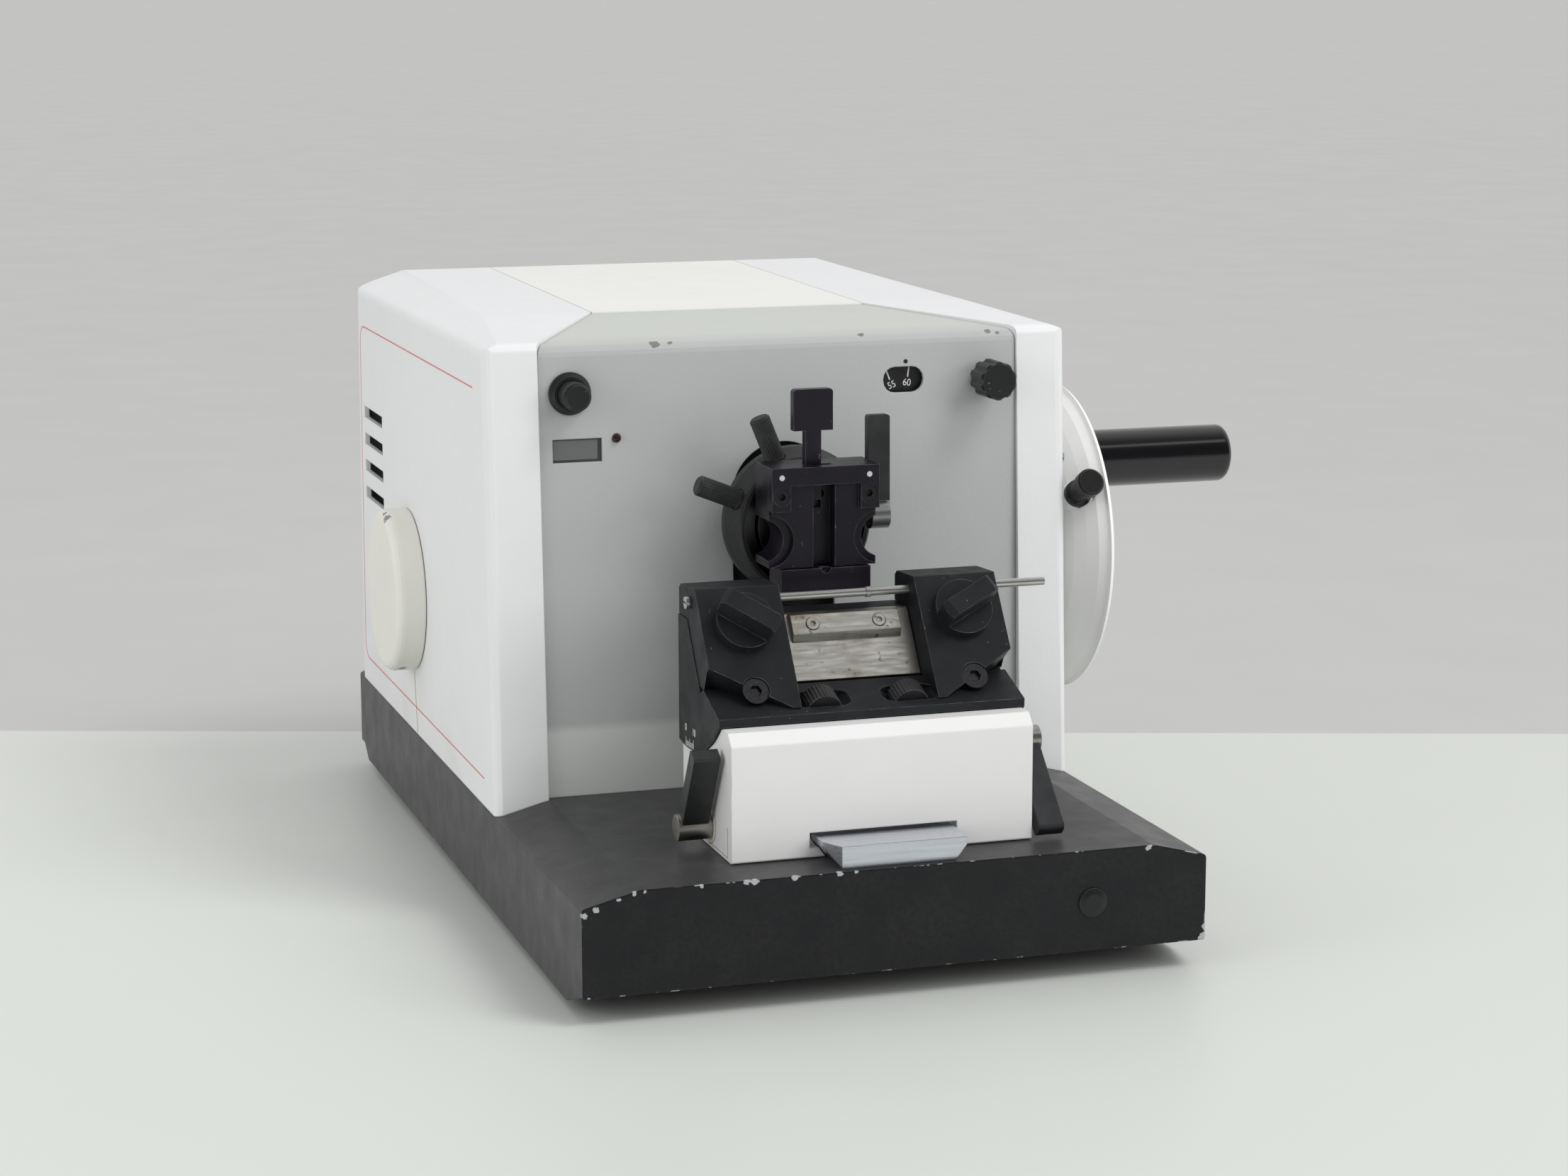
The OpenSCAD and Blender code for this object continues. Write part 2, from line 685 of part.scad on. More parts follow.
// Clear window of the display with the unit behind it
module display_window() {
    place() color([0.3, 0.33, 0.32]) {
        block([display_x - display_w / 2 + 0.1, panel_face_y + 0.6, display_z - display_h / 2 + 0.1],
            [display_x + display_w / 2 - 0.1, panel_face_y + 8, display_z + display_h / 2 - 0.1]);
    }
}

// Status lamp
module status_lamp() {
    place() color([0.2, 0.05, 0.05]) {
        rod_y(panel_face_y - 0.6, panel_face_y + 8, lamp_x, lamp_z, lamp_r);
        translate([lamp_x, panel_face_y - 0.6, lamp_z]) sphere(r = lamp_r, $fn = 32);
    }
}

// Collar of the mode knob
module mode_collar() {
    y0 = panel_face_y - mode_collar_l;
    place() color([0.06, 0.06, 0.06]) difference() {
        translate([mode_x, panel_face_y, control_z]) rotate([90, 0, 0]) rotate_extrude()
            polygon([[mode_r + gap, 0], [mode_collar_r, 0], [mode_collar_r, mode_collar_l - 2.5],
                [mode_collar_r - 2, mode_collar_l], [mode_r + gap, mode_collar_l]]);
        rod_y(y0 - cut, y0 + mode_collar_l + cut, mode_x, control_z, mode_r + gap);
    }
}

// Push and turn knob of the mode switch, with its shank through the panel
module mode_knob() {
    place() color([0.05, 0.05, 0.05]) translate([mode_x, panel_face_y - mode_travel - 0.5, control_z])
        rotate([90, 0, 0]) {
        rotate_extrude() polygon([[0, 0], [mode_r, 0], [mode_r, mode_collar_l + mode_l - mode_travel - 2],
            [mode_r - 1.2, mode_collar_l + mode_l - mode_travel - 0.5],
            [0, mode_collar_l + mode_l - mode_travel - 0.5]]);
        translate([0, 0, -16]) cylinder(h = 16, r = mode_r - 1 - gap);
    }
}

// Lobed thickness knob
module thickness_knob() {
    place() color([0.07, 0.06, 0.08]) translate([thick_x, panel_face_y - gap, control_z])
        rotate([90, 0, 0]) difference() {
        union() {
            cylinder(h = thick_neck, r = thick_r - 3.5);
            translate([0, 0, thick_neck]) cylinder(h = thick_l - thick_neck - 1, r = thick_r);
            translate([0, 0, thick_l - 1]) cylinder(h = 1, r1 = thick_r, r2 = thick_r - 1);
        }
        for (i = [0:thick_lobes - 1])
            rotate([0, 0, i * 360 / thick_lobes]) translate([thick_r + 1.6, 0, thick_neck - 1])
                cylinder(h = thick_l, r = 2.6);
        translate([0, 0, -cut]) cylinder(h = 10 + cut, r = 3);
    }
}

// Shaft of the thickness knob with the pinion that turns the dial
module thickness_shaft() {
    y = panel_back_y + 2;
    place() color([0.7, 0.7, 0.72]) {
        rod_y(panel_face_y - gap - 10, y, thick_x, control_z, 3);
        translate([thick_x, y + 6, control_z]) rotate([90, 0, 0]) linear_extrude(6)
            polygon(gear(knob_teeth, 1));
        rod_y(y + 6, y + 14, thick_x, control_z, 3);
    }
}

// Dial with its gear rim, behind the window
module dial_disc() {
    y = panel_back_y + 2;
    mesh = atan2(control_z - dial_centre[1], thick_x - dial_centre[0]);
    place() color([0.1, 0.1, 0.1]) translate([dial_centre[0], y + 6, dial_centre[1]]) rotate([90, 0, 0]) {
        rotate([0, 0, mesh + 180 / dial_teeth + mesh_turn()]) linear_extrude(6)
            polygon(gear(dial_teeth, 1));
        translate([0, 0, 6]) cylinder(h = 1.2, r = dial_r - 2);
        translate([0, 0, -8]) cylinder(h = 8, r = 4);
    }
}

// Small turn that lines a gap of the dial's gear up with a tooth of the pinion
function mesh_turn() =
    let (mesh = atan2(control_z - dial_centre[1], thick_x - dial_centre[0]), pitch = 360 / knob_teeth,
        off = ((mesh + 180) % pitch))
    off * knob_teeth / dial_teeth;

// Main frame: the pillar that carries the main shaft
module main_frame() {
    place() color([0.45, 0.47, 0.48]) difference() {
        union() {
            slab_x(frame_x0, frame_x1, [[shaft_y - 44, base_top], [shaft_y + 60, base_top],
                [shaft_y + 60, base_top + 12],
                [shaft_y + 26, shaft_z - 20], [shaft_y + 26, shaft_z + 26], [shaft_y - 26, shaft_z + 26],
                [shaft_y - 26, shaft_z - 20], [shaft_y - 44, base_top + 12]]);
        }
        rod_x(frame_x0 - cut, frame_x1 + cut, shaft_y, shaft_z, shaft_r + 5);
        block([frame_x0 + 12, shaft_y - 50, base_top + 12], [frame_x1 - 12, shaft_y + 60, shaft_z - 30]);
    }
}

// Bronze bushes of the main shaft, pressed into the main frame
module shaft_bushes() {
    place() color([0.7, 0.5, 0.25])
        for (x = [frame_x0, frame_x1 - 16])
            difference() {
                rod_x(x, x + 16, shaft_y, shaft_z, shaft_r + 5);
                rod_x(x - cut, x + 16 + cut, shaft_y, shaft_z, shaft_r + running);
            }
}

// Two rails under the feed slide
module feed_rails() {
    place() color([0.75, 0.75, 0.77])
        for (x = [-rail_x, rail_x])
            slab_y(-76, slide_rear_y + 10, [[x - rail_w / 2, base_top], [x + rail_w / 2, base_top],
                [x + rail_w / 2, base_top + 3],
                [x + rail_w / 2 - 2, base_top + 5], [x + rail_w / 2, base_top + 7],
                [x + rail_w / 2, base_top + 10],
                [x - rail_w / 2, base_top + 10], [x - rail_w / 2, base_top + 7],
                [x - rail_w / 2 + 2, base_top + 5],
                [x - rail_w / 2, base_top + 3]]);
}

// Feed motor with a hollow nut round the spindle
module feed_motor() {
    place() color([0.2, 0.2, 0.21]) difference() {
        union() {
            block([-28, motor_y, base_top + 14], [28, motor_y + 56, base_top + 70]);
            rod_y(motor_y - 7, motor_y, 0, spindle_z, 19);
            block([-24, motor_y + 2, base_top], [24, motor_y + 54, base_top + 14]);
        }
        rod_y(motor_y - 10, motor_y + 60, 0, spindle_z, spindle_bore);
    }
}

// Bracket with the bush of the coarse shaft
module coarse_bracket() {
    place() color([0.45, 0.47, 0.48]) difference() {
        slab_x(-half_w + 29, -half_w + 51,
            [[coarse_y - 30, base_top], [coarse_y + 30, base_top], [coarse_y + 30, base_top + 10],
            [coarse_y + 14, coarse_z - 6], [coarse_y + 14, coarse_z + 14], [coarse_y - 14, coarse_z + 14],
            [coarse_y - 14, coarse_z - 6], [coarse_y - 30, base_top + 10]]);
        rod_x(-half_w + 28, -half_w + 52, coarse_y, coarse_z, coarse_shaft_r + running);
    }
}

// Dished handwheel: domed towards the housing, open towards the operator's hand
module handwheel() {
    hub_r = 22;
    rim = [[shaft_r, 0], [wheel_back_r - 8, 0], [wheel_back_r, 1.5], [wheel_back_r + 8, 5],
        [wheel_back_r + 15, 9.5],
        [wheel_back_r + 20.5, 14], [wheel_r - 2, 18.5], [wheel_r, wheel_t - 2], [wheel_r - 1, wheel_t],
        [wheel_r - 4, wheel_t], [wheel_r - 6, wheel_t - 3], [wheel_r - 10, wheel_t - 7.5],
        [wheel_back_r + 4, wheel_t - 14],
        [wheel_back_r - 4, wheel_t - 16], [hub_r + 4, wheel_t - 16], [hub_r, wheel_t - 1.5],
        [hub_r - 2, wheel_t],
        [shaft_r, wheel_t]];
    place() color([0.94, 0.93, 0.9]) difference() {
        union() {
            translate([wheel_x0, shaft_y, shaft_z]) rotate([0, 90, 0]) rotate_extrude($fn = 96)
                polygon(rim);
            intersection() {
                rod_x(wheel_x0 + 3, wheel_x1, grip_y, grip_z, 17);
                translate([wheel_x0, shaft_y, shaft_z]) rotate([0, 90, 0]) rotate_extrude($fn = 96)
                    polygon([[hub_r, 0], [wheel_back_r, 2], [wheel_r - 4, 19], [wheel_r - 4, wheel_t],
                    [hub_r, wheel_t]]);
            }
            lock_axis() translate([0, 0, wheel_back_r - 8]) cylinder(h = 19, r = lock_r + 0.6);
        }
        rod_x(wheel_x0 - cut, wheel_x1 + cut, grip_y, grip_z, spindle_r);
        lock_axis() translate([0, 0, wheel_back_r - 20]) cylinder(h = 50, r = 3 + gap);
        lock_axis() translate([0, 0, wheel_back_r + 11]) cylinder(h = 40, r = lock_r + gap);
    }
}

// Axis of the lock knob, pointing away from the main shaft
module lock_axis() {
    translate([lock_x, shaft_y, shaft_z]) rotate([90 - lock_angle, 0, 0]) children();
}

// Spring-loaded lock knob with its waist
module wheel_lock_knob() {
    base = wheel_back_r + 11 + gap;
    tall = lock_reach - base;
    place() color([0.06, 0.06, 0.06]) lock_axis() {
        translate([0, 0, base]) rotate_extrude()
            polygon([[0, 0], [lock_r, 0], [lock_r, 3], [lock_r - 1.5, 5.5],
            [lock_r - 2, tall - 11], [lock_r - 0.6, tall - 8], [lock_r, tall - 6.5], [lock_r, tall - 1],
            [lock_r - 1, tall], [0, tall]]);
        translate([0, 0, base - 14]) cylinder(h = 14, r = 3);
    }
}

// Main shaft from the handwheel to the crank disc
module main_shaft() {
    place() color([0.75, 0.76, 0.78]) {
        rod_x(disc_x0, wheel_x1 - 4, shaft_y, shaft_z, shaft_r);
        rod_x(frame_x1 + 2, frame_x1 + 8, shaft_y, shaft_z, shaft_r + 4);
    }
}

// Crank disc with its pin, which stops just short of the carriage's slot
module crank_disc() {
    place() color([0.55, 0.56, 0.58]) {
        difference() {
            union() {
                rod_x(disc_x0, disc_x0 + disc_t, shaft_y, shaft_z, disc_r);
                rod_x(disc_x0 + disc_t, disc_x0 + disc_t + 5, shaft_y, shaft_z, shaft_r + 6);
            }
            rod_x(disc_x0 - cut, disc_x0 + disc_t + 6, shaft_y, shaft_z, shaft_r);
        }
        rod_x(disc_x0 - 3, disc_x0, shaft_y, shaft_z + crank_throw, 6);
    }
}

// Fixed spindle of the crank grip
module grip_spindle() {
    place() color([0.75, 0.76, 0.78]) {
        rod_x(wheel_x0 + 1.5, grip_x1 - 12, grip_y, grip_z, spindle_r);
        rod_x(grip_x1 - 12, grip_x1 - 9, grip_y, grip_z, spindle_r + 2.5);
    }
}

// Crank grip that turns freely on its spindle
module crank_grip() {
    place() color([0.05, 0.05, 0.06]) difference() {
        translate([grip_x0, grip_y, grip_z]) rotate([0, 90, 0]) rotate_extrude()
            polygon(rounded([[0, 0], [grip_r, 0], [grip_r, grip_l], [0, grip_l]], [0, 1.5, 4, 0]));
        rod_x(grip_x0 - cut, grip_x1 - 12 + gap, grip_y, grip_z, spindle_r + running);
        rod_x(grip_x1 - 12 - gap, grip_x1 - 8, grip_y, grip_z, spindle_r + 2.5 + running);
    }
}

// Coarse feed wheel with a shallow recess at its hub
module coarse_wheel() {
    t = coarse_out - gap;
    place() color([0.93, 0.91, 0.8]) difference() {
        translate([-half_w - gap, coarse_y, coarse_z]) rotate([0, -90, 0]) rotate_extrude($fn = 96)
            polygon(rounded([[coarse_shaft_r, 0], [coarse_r, 0], [coarse_r, t], [coarse_shaft_r - 6, t],
            [coarse_shaft_r - 6, t - 5],
                [coarse_shaft_r, t - 5]], [0, 1, 5, 0, 0, 0]));
    }
}

// Coarse shaft with the pinion that drives the feed rack
module coarse_shaft() {
    place() color([0.72, 0.73, 0.75]) {
        rod_x(-half_w - coarse_out + 5.5, coarse_in_x, coarse_y, coarse_z, coarse_shaft_r - 0.01);
        translate([coarse_in_x, coarse_y, coarse_z]) rotate([0, 90, 0]) rotate([0, 0, 0]) linear_extrude(10)
            polygon(gear(pinion_teeth, rack_module));
        rod_x(-half_w + 54, -half_w + 57, coarse_y, coarse_z, coarse_shaft_r + 3);
        rod_x(-half_w + 24, -half_w + 27, coarse_y, coarse_z, coarse_shaft_r + 3);
    }
}

// Feed slide on its rails, with the rack, the feet of the guide rods and the spindle's lug
module feed_slide() {
    floor_z = base_top + 10 + gap;
    rack_pitch = PI * rack_module;
    half = rack_pitch / 4 - 0.06;
    slide_half = rail_x + 16;
    slope = tan(20) * 0.9 * rack_module;
    rack_y0 = coarse_y - 44;
    rack = concat([[rack_y0 - 2, rack_z - 16], [rack_y0 - 2, rack_z - 1.2 * rack_module]],
        [for (i = [0:18]) each [
            [coarse_y + (i - 12) * rack_pitch + rack_pitch / 2 - half - slope, rack_z - 1.2 * rack_module],
            [coarse_y + (i - 12) * rack_pitch + rack_pitch / 2 - half + slope, rack_z + 0.9 * rack_module],
            [coarse_y + (i - 12) * rack_pitch + rack_pitch / 2 + half - slope, rack_z + 0.9 * rack_module],
            [coarse_y + (i - 12) * rack_pitch + rack_pitch / 2 + half + slope,
            rack_z - 1.2 * rack_module]]],
        [[coarse_y + 24, rack_z - 1.2 * rack_module], [coarse_y + 24, rack_z - 16]]);
    place() color([0.5, 0.52, 0.53]) {
        difference() {
            union() {
                block([-slide_half, -54, floor_z], [slide_half, slide_rear_y, floor_z + 12]);
                block([-slide_half, slide_rear_y - 60, floor_z + 12],
                    [-slide_half + 12, slide_rear_y, rack_z - 16]);
                block([-14, slide_rear_y - 24, floor_z + 12], [14, slide_rear_y - 10, base_top + 54]);
                for (x = [-rail_x - rail_w / 2 - gap - 8, -rail_x + rail_w / 2 + gap,
                    rail_x - rail_w / 2 - gap - 8, rail_x + rail_w / 2 + gap])
                    block([x, -54, base_top + 1], [x + 8, slide_rear_y, floor_z]);
            }
            for (x = [-guide_x, guide_x])
                translate([x, 0, floor_z - cut]) cylinder(h = 14, r = guide_r);
            rod_y(slide_rear_y - 25, slide_rear_y - 9, 0, spindle_z, 5);
        }
        slab_x(coarse_in_x, -slide_half + 12, rack);
    }
}

// Vertical guide rods with the tie bar across their tops
module guide_rods() {
    floor_z = base_top + 10 + gap;
    top_z = head_z + 42;
    place() color([0.78, 0.79, 0.8]) {
        for (x = [-guide_x, guide_x])
            translate([x, 0, floor_z]) cylinder(h = top_z - floor_z, r = guide_r);
        block([-guide_x - 12, -12, top_z], [guide_x + 12, 12, top_z + 10]);
    }
}

// Feed spindle, held in the slide and running through the motor's nut
module feed_spindle() {
    place() color([0.75, 0.76, 0.78]) rod_y(slide_rear_y - 24, motor_y + 68, 0, spindle_z, 5);
}

// Shutter behind the panel's slot, moved up and down by the arm
module slot_shutter() {
    y0 = panel_back_y + 1.5;
    place() color([0.05, 0.05, 0.05]) difference() {
        block([-slot_half - 4.5, y0, slot_low + 11], [slot_half + 4.5, y0 + shutter_t, hood_front_z - 5]);
        rod_y(y0 - cut, y0 + shutter_t + cut, 0, head_z, arm_r + gap);
    }
}

// Vertical carriage with the bores for the guide rods and the crosswise slot for the crank pin
module carriage() {
    half = 28;
    place() color([0.5, 0.52, 0.53]) difference() {
        union() {
            block([-carriage_half, -20, head_z - half], [carriage_half, 24, head_z + half]);
            block([carriage_half, shaft_y - crank_throw - 14, head_z - 14],
                [disc_x0 - 4, shaft_y + crank_throw + feed_travel + 14, head_z + 14]);
            rod_y(24, 52, 0, head_z, arm_r);
        }
        for (x = [-guide_x, guide_x])
            translate([x, 0, head_z - half - cut]) cylinder(h = 2 * half + 2 * cut, r = guide_r + running);
        block([carriage_half - 1, shaft_y - crank_throw - 7, head_z - 6.2],
            [disc_x0, shaft_y + crank_throw + feed_travel + 7, head_z + 6.2]);
    }
}

// Specimen arm through the panel's slot
module specimen_arm() {
    place() color([0.3, 0.3, 0.32]) {
        rod_y(ring_back_y, -20, 0, head_z, arm_r);
    }
}

// Ring of the specimen head, with the recess for the swivel and holes for the two screws
module head_ring() {
    depth = ring_back_y - ring_front_y;
    place() color([0.12, 0.12, 0.12]) difference() {
        translate([0, ring_back_y, head_z]) rotate([90, 0, 0]) rotate_extrude($fn = 96)
            polygon([[0, 0], [ring_r - 2, 0], [ring_r - 2, 4.5], [ring_r, 5.5], [ring_r, 11],
                [ring_r - 3.5, depth - 1], [ring_r - 4.5, depth], [recess_r, depth], [recess_r, 6],
                [0, 6]]);
        for (a = [nod_angle, swing_angle])
            head_radial(a) translate([0, 0, 30]) cylinder(h = 20, r = screw_r + gap);
    }
}

// Turns its children to point away from the head's middle, at an angle from straight up
module head_radial(angle) {
    translate([0, swivel_y - 1.5, head_z]) rotate([0, -angle, 0]) children();
}

// One orientation screw with its fluted head
module orientation_screw(angle) {
    start = recess_r + 1.5;
    place() color([0.08, 0.08, 0.08]) head_radial(angle) translate([0, 0, start]) difference() {
        union() {
            cylinder(h = screw_reach - start - 1, r = screw_r);
            translate([0, 0, screw_reach - start - 1]) cylinder(h = 1, r1 = screw_r, r2 = screw_r - 1);
        }
        for (i = [0:23])
            rotate([0, 0, i * 15]) translate([screw_r + 0.25, 0, 3])
                cylinder(h = screw_reach, r = 0.55, $fn = 6);
    }
}

// Screw that nods the clamp
module nod_screw() {
    orientation_screw(nod_angle);
}

// Screw that swings the clamp
module swing_screw() {
    orientation_screw(swing_angle);
}

// Outer swivel ring, a slice of a sphere that nods in the head's recess
module swivel_ring() {
    place() color([0.2, 0.2, 0.2]) translate([0, swivel_y, head_z]) rotate([90, 0, 0]) difference() {
        intersection() {
            sphere(r = recess_r - gap, $fn = 64);
            translate([0, 0, -5.5]) cylinder(h = 11, r = recess_r);
        }
        translate([0, 0, -7]) cylinder(h = 14, r = 25.4);
    }
}

// Inner swivel block that carries the specimen clamp
module swivel_block() {
    place() color([0.25, 0.25, 0.25]) translate([0, swivel_y, head_z]) rotate([90, 0, 0]) {
        intersection() {
            sphere(r = 25, $fn = 64);
            translate([0, 0, -5]) cylinder(h = 12, r = 26);
        }
        translate([0, 0, 7]) cylinder(h = swivel_y - clamp_back_y - 7, r = 16);
    }
}

// Round notches in both sides of the clamp
module side_notches(y0, y1, r, x) {
    for (s = [-1, 1])
        rod_y(y0, y1, s * x, notch_z, r);
}

// Body of the specimen clamp, with its channel, side notches and the well of the release lever
module clamp_body() {
    place() color([0.07, 0.06, 0.08]) difference() {
        block([-clamp_half, body_front_y, clamp_low + jaw_h + gap + jaw_travel],
            [clamp_half, clamp_back_y, clamp_top - 0.01]);
        block([-channel_w / 2, body_front_y - cut, clamp_low - cut],
            [channel_w / 2, body_front_y + channel_t, clamp_top + cut]);
        side_notches(body_front_y - cut, clamp_back_y + cut, notch_r - 2.5, clamp_half + 3);
        for (z = [clamp_top - 15, clamp_low + 16])
            rod_y(body_front_y, body_front_y + channel_t + 8, 0, z, 2.6);
        block([pad_x - stem_w / 2 - gap, stem_y - gap, clamp_top - 22],
            [pad_x + stem_w / 2 + gap, stem_y + stem_t + gap, clamp_top + cut]);
    }
}

// Frame on the clamp's face: crossbar, two legs and the plate with its side notches
module clamp_frame() {
    bar_h = 9;
    leg_h = 21.6;
    leg_w = 9.8;
    place() color([0.09, 0.07, 0.1]) difference() {
        union() {
            block([-clamp_half, clamp_front_y, clamp_top - bar_h], [clamp_half, body_front_y, clamp_top]);
            for (s = [-1, 1])
                block([s > 0 ? clamp_half - leg_w : -clamp_half, clamp_front_y, clamp_top - leg_h],
                    [s > 0 ? clamp_half : -clamp_half + leg_w, body_front_y, clamp_top - bar_h]);
            for (s = [-1, 1])
                block([s > 0 ? channel_w / 2 : -clamp_half + 1, clamp_front_y + 3,
                    clamp_low + jaw_h + gap + jaw_travel],
                    [s > 0 ? clamp_half - 1 : -channel_w / 2, body_front_y, clamp_top - bar_h]);
        }
        side_notches(clamp_front_y - cut, body_front_y + cut, notch_r, clamp_half + 1);
        for (s = [-1, 1])
            rod_y(clamp_front_y - cut, clamp_front_y + 4, s * clamp_screw_x, clamp_screw_z, 4.4);
    }
}

// Socket screws of the clamp frame and the two light marks above them
module clamp_screws() {
    place() color([0.12, 0.12, 0.13])
        for (s = [-1, 1]) {
            difference() {
                rod_y(clamp_front_y + 0.4, clamp_front_y + 4, s * clamp_screw_x, clamp_screw_z, 4.3);
                rod_y(clamp_front_y, clamp_front_y + 2.4, s * clamp_screw_x, clamp_screw_z, 1.9, $fn = 6);
            }
            rod_y(clamp_front_y - 0.1, clamp_front_y, s * clamp_screw_x, clamp_top - 4.7, 1.4);
        }
}

// Lower jaw plate, drawn down by the flat lever
module lower_jaw() {
    place() color([0.08, 0.07, 0.09]) difference() {
        block([-clamp_half + 4.6, clamp_front_y, clamp_low + jaw_travel],
            [clamp_half - 4.6, clamp_back_y - 8, clamp_low + jaw_travel + jaw_h]);
        translate([0, clamp_front_y, clamp_low + jaw_travel + jaw_h]) rotate([-90, 0, 0])
            cylinder(h = 4, r = 2.4);
    }
}

// Flat lever on its round hub at the clamp's right side
module clamp_lever() {
    x0 = clamp_half + gap;
    place() color([0.07, 0.07, 0.09]) {
        rod_x(x0, x0 + 9.5, lever_y, lever_z, 6.7);
        intersection() {
            slab_x(x0, x0 + flat_lever_w, [[lever_y + 6, lever_z], [lever_y + 6.5, lever_z + 50],
                [lever_y + 1.5, lever_z + 50],
                [lever_y + 1, lever_z]]);
            slab_y(lever_y - 2, lever_y + 8, rounded([[x0, lever_z - 1], [x0 + flat_lever_w, lever_z - 1],
                [x0 + flat_lever_w, lever_z + 50], [x0, lever_z + 50]], [0, 0, 1.5, 1.5]));
        }
    }
}

// Release lever with its broad pad
module release_lever() {
    pad_z = head_z + 51;
    place() color([0.08, 0.07, 0.1]) {
        slab_y(stem_y, stem_y + stem_t, rounded([[pad_x - pad_w / 2, pad_z], [pad_x + pad_w / 2, pad_z],
            [pad_x + pad_w / 2, pad_z + pad_h], [pad_x - pad_w / 2, pad_z + pad_h]], [0.4, 0.4, 1.8, 1.8]));
        block([pad_x - stem_w / 2, stem_y, clamp_top - 22 + pad_travel + gap],
            [pad_x + stem_w / 2, stem_y + stem_t, pad_z]);
    }
}

// Dovetail rail on the base, with a lead-in taper at its front end
module knife_rail() {
    top = base_top + rail_h;
    place() color([0.8, 0.81, 0.84]) intersection() {
        slab_y(rail_front_y, rail_rear_y, [[-rail_foot_w / 2, base_top], [rail_foot_w / 2, base_top],
            [rail_top_w / 2, top - 2.5], [rail_top_w / 2, top], [-rail_top_w / 2, top],
            [-rail_top_w / 2, top - 2.5]]);
        slab_z(base_top - cut, top + cut,
            [[-rail_top_w / 2 + 6, rail_front_y], [rail_top_w / 2 - 1, rail_front_y],
            [rail_top_w / 2, rail_front_y + 12], [rail_top_w / 2, rail_rear_y],
            [-rail_top_w / 2, rail_rear_y],
            [-rail_top_w / 2, rail_front_y + 12]]);
    }
}

// White knife base with the dovetail groove and the round seat of the segment
module knife_base() {
    low = base_top + gap;
    half = knife_base_w / 2;
    side = [[knife_front_y, low], [knife_front_y, knife_top_z - 5.5], [knife_front_y + 5.5, knife_top_z],
        [knife_back_y - 2, knife_top_z], [knife_back_y - 2, low]];
    place() color([0.94, 0.94, 0.92]) difference() {
        slab_x(-half, half, rounded(side, [1, 1.5, 1.5, 0, 1]));
        rod_x(-half - cut, half + cut, edge_y, edge_z, segment_r + gap, $fn = 128);
        slab_y(knife_front_y - cut, knife_back_y,
            [[-rail_foot_w / 2 - gap, low - cut], [rail_foot_w / 2 + gap, low - cut],
            [rail_top_w / 2 + gap, base_top + rail_h - 2.5],
            [rail_top_w / 2 + gap, base_top + rail_h + gap],
            [-rail_top_w / 2 - gap, base_top + rail_h + gap],
            [-rail_top_w / 2 - gap, base_top + rail_h - 2.5]]);
        block([-rail_top_w / 2 - 2.5, knife_front_y - cut, base_top + 5],
            [rail_top_w / 2 + 2.5, knife_front_y + 6, base_top + rail_h + 1.5]);
    }
}

// Clamping lever on its hub, drawn along X from the wall outwards
module clamping_lever(x0, hub_z, tip, round_end) {
    hub = [hub_y, hub_z];
    u = (tip - hub) / norm(tip - hub);
    v = [-u[1], u[0]];
    place() color([0.1, 0.1, 0.11]) {
        rod_x(x0 < 0 ? x0 - hub_l : x0, x0 < 0 ? x0 : x0 + hub_l, hub_y, hub_z, hub_r);
        slab_x(x0 < 0 ? x0 - 2 - lever_w : x0 + 2, x0 < 0 ? x0 - 2 : x0 + 2 + lever_w,
            rounded([hub - v * lever_t / 2, tip - v * lever_t / 2, tip + v * lever_t / 2,
            hub + v * lever_t / 2],
                [0, round_end, round_end, 0]));
    }
}

module rail_lever() {
    clamping_lever(-knife_base_w / 2 - gap, left_hub_z, [-232, 115], 1.5);
}

module angle_lever() {
    clamping_lever(knife_base_w / 2 + gap, right_hub_z, [-246, 67], 2.5);
}

// Holder segment: round underside, sloping ledge with two wells, and the slope that backs the knife
module holder_segment() {
    half = segment_half;
    low = edge_z - segment_r - 5;
    top = jaw_pt(knife_to, jaw_back);
    side = [[ledge_front[0], low], ledge_front, [ledge_back_y, ledge_z(ledge_back_y)],
        jaw_pt(knife_from, jaw_back),
        top, [knife_back_y, top[1]], [knife_back_y, low]];
    place() color([0.13, 0.14, 0.15]) difference() {
        intersection() {
            slab_x(-half, half, side);
            rod_x(-half, half, edge_y, edge_z, segment_r, $fn = 128);
        }
        for (x = [-height_wheel_x, height_wheel_x])
            height_wheel_at(x) {
                cylinder(h = height_wheel_l + 1.2, r = height_wheel_r + 0.6, center = true);
                translate([0, 0, -height_wheel_l])
                    cylinder(h = 2 * height_wheel_l, r = 2.5 + running, center = true);
                intersection() {
                    translate([0, ledge_dip + well_rise, 0])
                        cylinder(h = well_w, r = well_r, center = true);
                    rotate([90, 0, 0]) linear_extrude(3 * well_r, center = true)
                        polygon(rounded([[-well_half, -well_w / 2], [well_half, -well_w / 2],
                        [well_half, well_w / 2],
                            [-well_half, well_w / 2]], [6, 6, 6, 6]));
                }
            }
        for (side = [-1, 1])
            on_jaw(side * knob_x, 12.5, 0) translate([0, 0, jaw_back - 1]) cylinder(h = jaw_t, r = 4.02);
    }
}

// Puts the axis of a height wheel under the sloping ledge
module height_wheel_at(x) {
    translate([x, height_wheel_y, ledge_z(height_wheel_y)]) rotate([90 + ledge_slope, 0, 0])
        translate([0, -ledge_dip, 0]) children();
}

